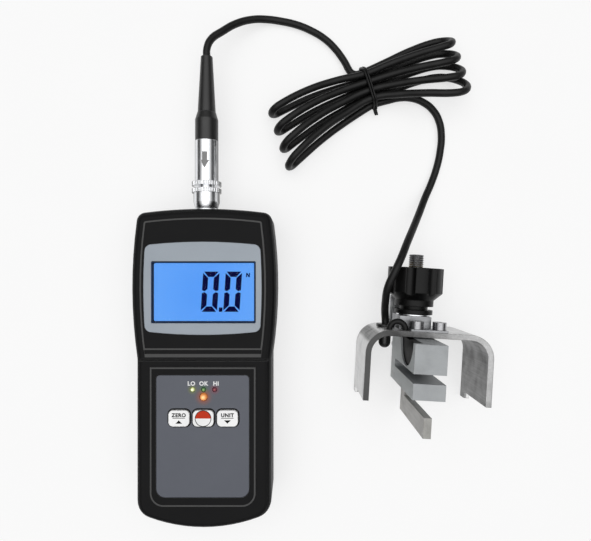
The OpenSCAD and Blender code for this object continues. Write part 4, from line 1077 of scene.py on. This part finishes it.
outlines = bmesh.new()
grow = 2 * (OUTLINE_GAP + OUTLINE_W)
for key in ("left_key", "power_key", "right_key"):
    key_x, key_y = spot_of(key)
    outline(outlines, key_x, key_y, KEY_W + grow, KEY_L + grow, KEY_CORNER + grow / 2, OUTLINE_W, label_top)
piece("key_outlines", outlines, black_ink, "base")
for key, way, text in (("left_key", 1, "ZERO"), ("right_key", -1, "UNIT")):
    key_x, key_y = spot_of(key)
    base = key_y - SIGN_DROP if way > 0 else key_y - SIGN_DROP + SIGN_H
    sign = bmesh.new()
    plate(sign, [(key_x - SIGN_W / 2, base), (key_x + SIGN_W / 2, base), (key_x, base + way * SIGN_H)],
          cap_top)
    bar(sign, key_x - RULE_W / 2, key_y, RULE_W, RULE_H, cap_top)
    word(sign, text, key_x, key_y + WORD_LIFT, cap_top, WORD_SIZE)
    piece(key + "_sign", sign, black_ink, key)

# %% [markdown]
# The power key's sign is a disc with a thin black rim, whose upper half is red. A full circle is cut in two
# by a plane, which leaves a clean straight edge.

# %% Power sign
DISC_R = 3.4
DISC_LINE = 0.3
ROUND = 48
power_x, power_y = spot_of("power_key")


def disc(bm, r, z):
    made = bmesh.ops.create_circle(bm, cap_ends=True, segments=ROUND, radius=r,
                                   matrix=Matrix.Translation((power_x, power_y, z)))
    return faces_round(made["verts"])


half_disc = bmesh.new()
disc(half_disc, DISC_R, cap_top)
bmesh.ops.bisect_plane(half_disc, geom=half_disc.verts[:] + half_disc.edges[:] + half_disc.faces[:],
                       plane_co=(power_x, power_y, cap_top), plane_no=(0, -1, 0), clear_outer=True)
raise_faces(half_disc, half_disc.faces[:], INK)
piece("power_half", half_disc, red_ink, "power_key")
rim = bmesh.new()
rim_faces = disc(rim, DISC_R + DISC_LINE, cap_top)
hollow(rim, rim_faces, DISC_LINE)
piece("power_rim", rim, black_ink, "power_key")

# %% [markdown]
# The three small lamps have white words over them: low, in order, and high.

# %% Lamp words
LAMP_WORDS = (("low_lamp", "LO", -0.5), ("ok_lamp", "OK", 0.0), ("high_lamp", "HI", 0.6))
LAMP_WORD_LIFT = 1.9
LAMP_WORD_SIZE = 2.5
lamp_words = bmesh.new()
for node, text, aside in LAMP_WORDS:
    lamp_x, lamp_y = spot_of(node)
    word(lamp_words, text, lamp_x + aside, lamp_y + LAMP_WORD_LIFT, label_top, LAMP_WORD_SIZE)
piece("lamp_words", lamp_words, white_ink, "base")

# %% [markdown]
# ## Painted highlights on the raised faces
# The case's two raised faces have a highlight along their rim, which shows in the photo as a thin lighter
# line;
# here it is a painted highlight, a thin band of lighter ink. The ledge under the upper one gets a painted
# highlight too, along its lower edge.
# The rim's outline is read from the CAD shell: its top faces are kept, and the loops of their open edges
# are the outlines. A loop that lies within another one belongs to an opening and is left out.

# %% Painted highlights on the raised faces' rims
RIM_W = 0.7
LEDGE_DROP = 0.0004
LEDGE_BAND = 1.5
LEVEL = 0.999
SAME_HEIGHT = 0.0001
shell_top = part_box("front_shell")[1][2]


def open_loops(bm):
    """Loops of the edges that have one face, each a list of places in order."""
    bm.edges.index_update()
    left = {e.index: e for e in bm.edges if e.is_boundary}
    found = []
    while left:
        _, edge = left.popitem()
        start, here = edge.verts
        places = [start.co / MM]
        while here != start:
            places.append(here.co / MM)
            edge = next(e for e in here.link_edges if e.index in left)
            del left[edge.index]
            here = edge.other_vert(here)
        found.append(places)
    return found


def within(inner, outer):
    """Whether one loop's box lies inside the other loop's box, seen from above."""
    return all(min(p[i] for p in outer) < min(p[i] for p in inner)
               and max(p[i] for p in inner) < max(p[i] for p in outer) for i in (0, 1))


shell = bmesh.new()
shell.from_mesh(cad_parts["front_shell"].data)
bmesh.ops.remove_doubles(shell, verts=shell.verts, dist=WELD * MM)
ledge = [v.co / MM for f in shell.faces
         if f.normal.z > LEVEL and abs(f.calc_center_median().z - shell_top + LEDGE_DROP) < SAME_HEIGHT
         for v in f.verts]
ledge_y = min(p.y for p in ledge)
ledge_half = max(p.x for p in ledge if p.y < ledge_y + LEDGE_BAND)
lower = [f for f in shell.faces
         if f.normal.z < LEVEL or f.calc_center_median().z < shell_top - SAME_HEIGHT]
bmesh.ops.delete(shell, geom=lower, context="FACES")
rim_highlights = bmesh.new()
bar(rim_highlights, -ledge_half, ledge_y, 2 * ledge_half, LEDGE_BAND, (shell_top - LEDGE_DROP) / MM)
loops = open_loops(shell)
for places in loops:
    if not any(within(places, other) for other in loops):
        face = rim_highlights.faces.new([rim_highlights.verts.new(p) for p in places])
        face.normal_update()
        hollow(rim_highlights, [face], RIM_W)
shell.free()
# Painted highlight: a thin band of lighter grey ink along each rim and along the ledge.
rim_highlight_paint = ink("rim_highlight_paint", grey(0.055), shine=0.3)
piece("face_rim_highlights", rim_highlights, rim_highlight_paint, "base")

# %% [markdown]
# ## Arrow on the plug
# The plug's key mark is an arrow sunk in its body and filled with grey enamel.

# %% Arrow fill
ARROW_X = -0.8
ARROW_Y = 96.7
ARROW_FLOOR = 19.1
ARROW_FILL = 0.1
ARROW_HALF_L = 3.7
ARROW_HALF_W = 1.95
ARROW_HEAD = 3.5
STEM_HALF = 1.12
tip_y = ARROW_Y - ARROW_HALF_L
neck_y = tip_y + ARROW_HEAD
back_y = ARROW_Y + ARROW_HALF_L
half_arrow = [(STEM_HALF, back_y), (STEM_HALF, neck_y), (ARROW_HALF_W, neck_y)]
left_arrow = [(ARROW_X - x, y) for x, y in half_arrow]
right_arrow = [(ARROW_X + x, y) for x, y in reversed(half_arrow)]
arrow = bmesh.new()
plate(arrow, left_arrow + [(ARROW_X, tip_y)] + right_arrow, ARROW_FLOOR, ARROW_FILL)
piece("plug_arrow", arrow, arrow_enamel, "base")
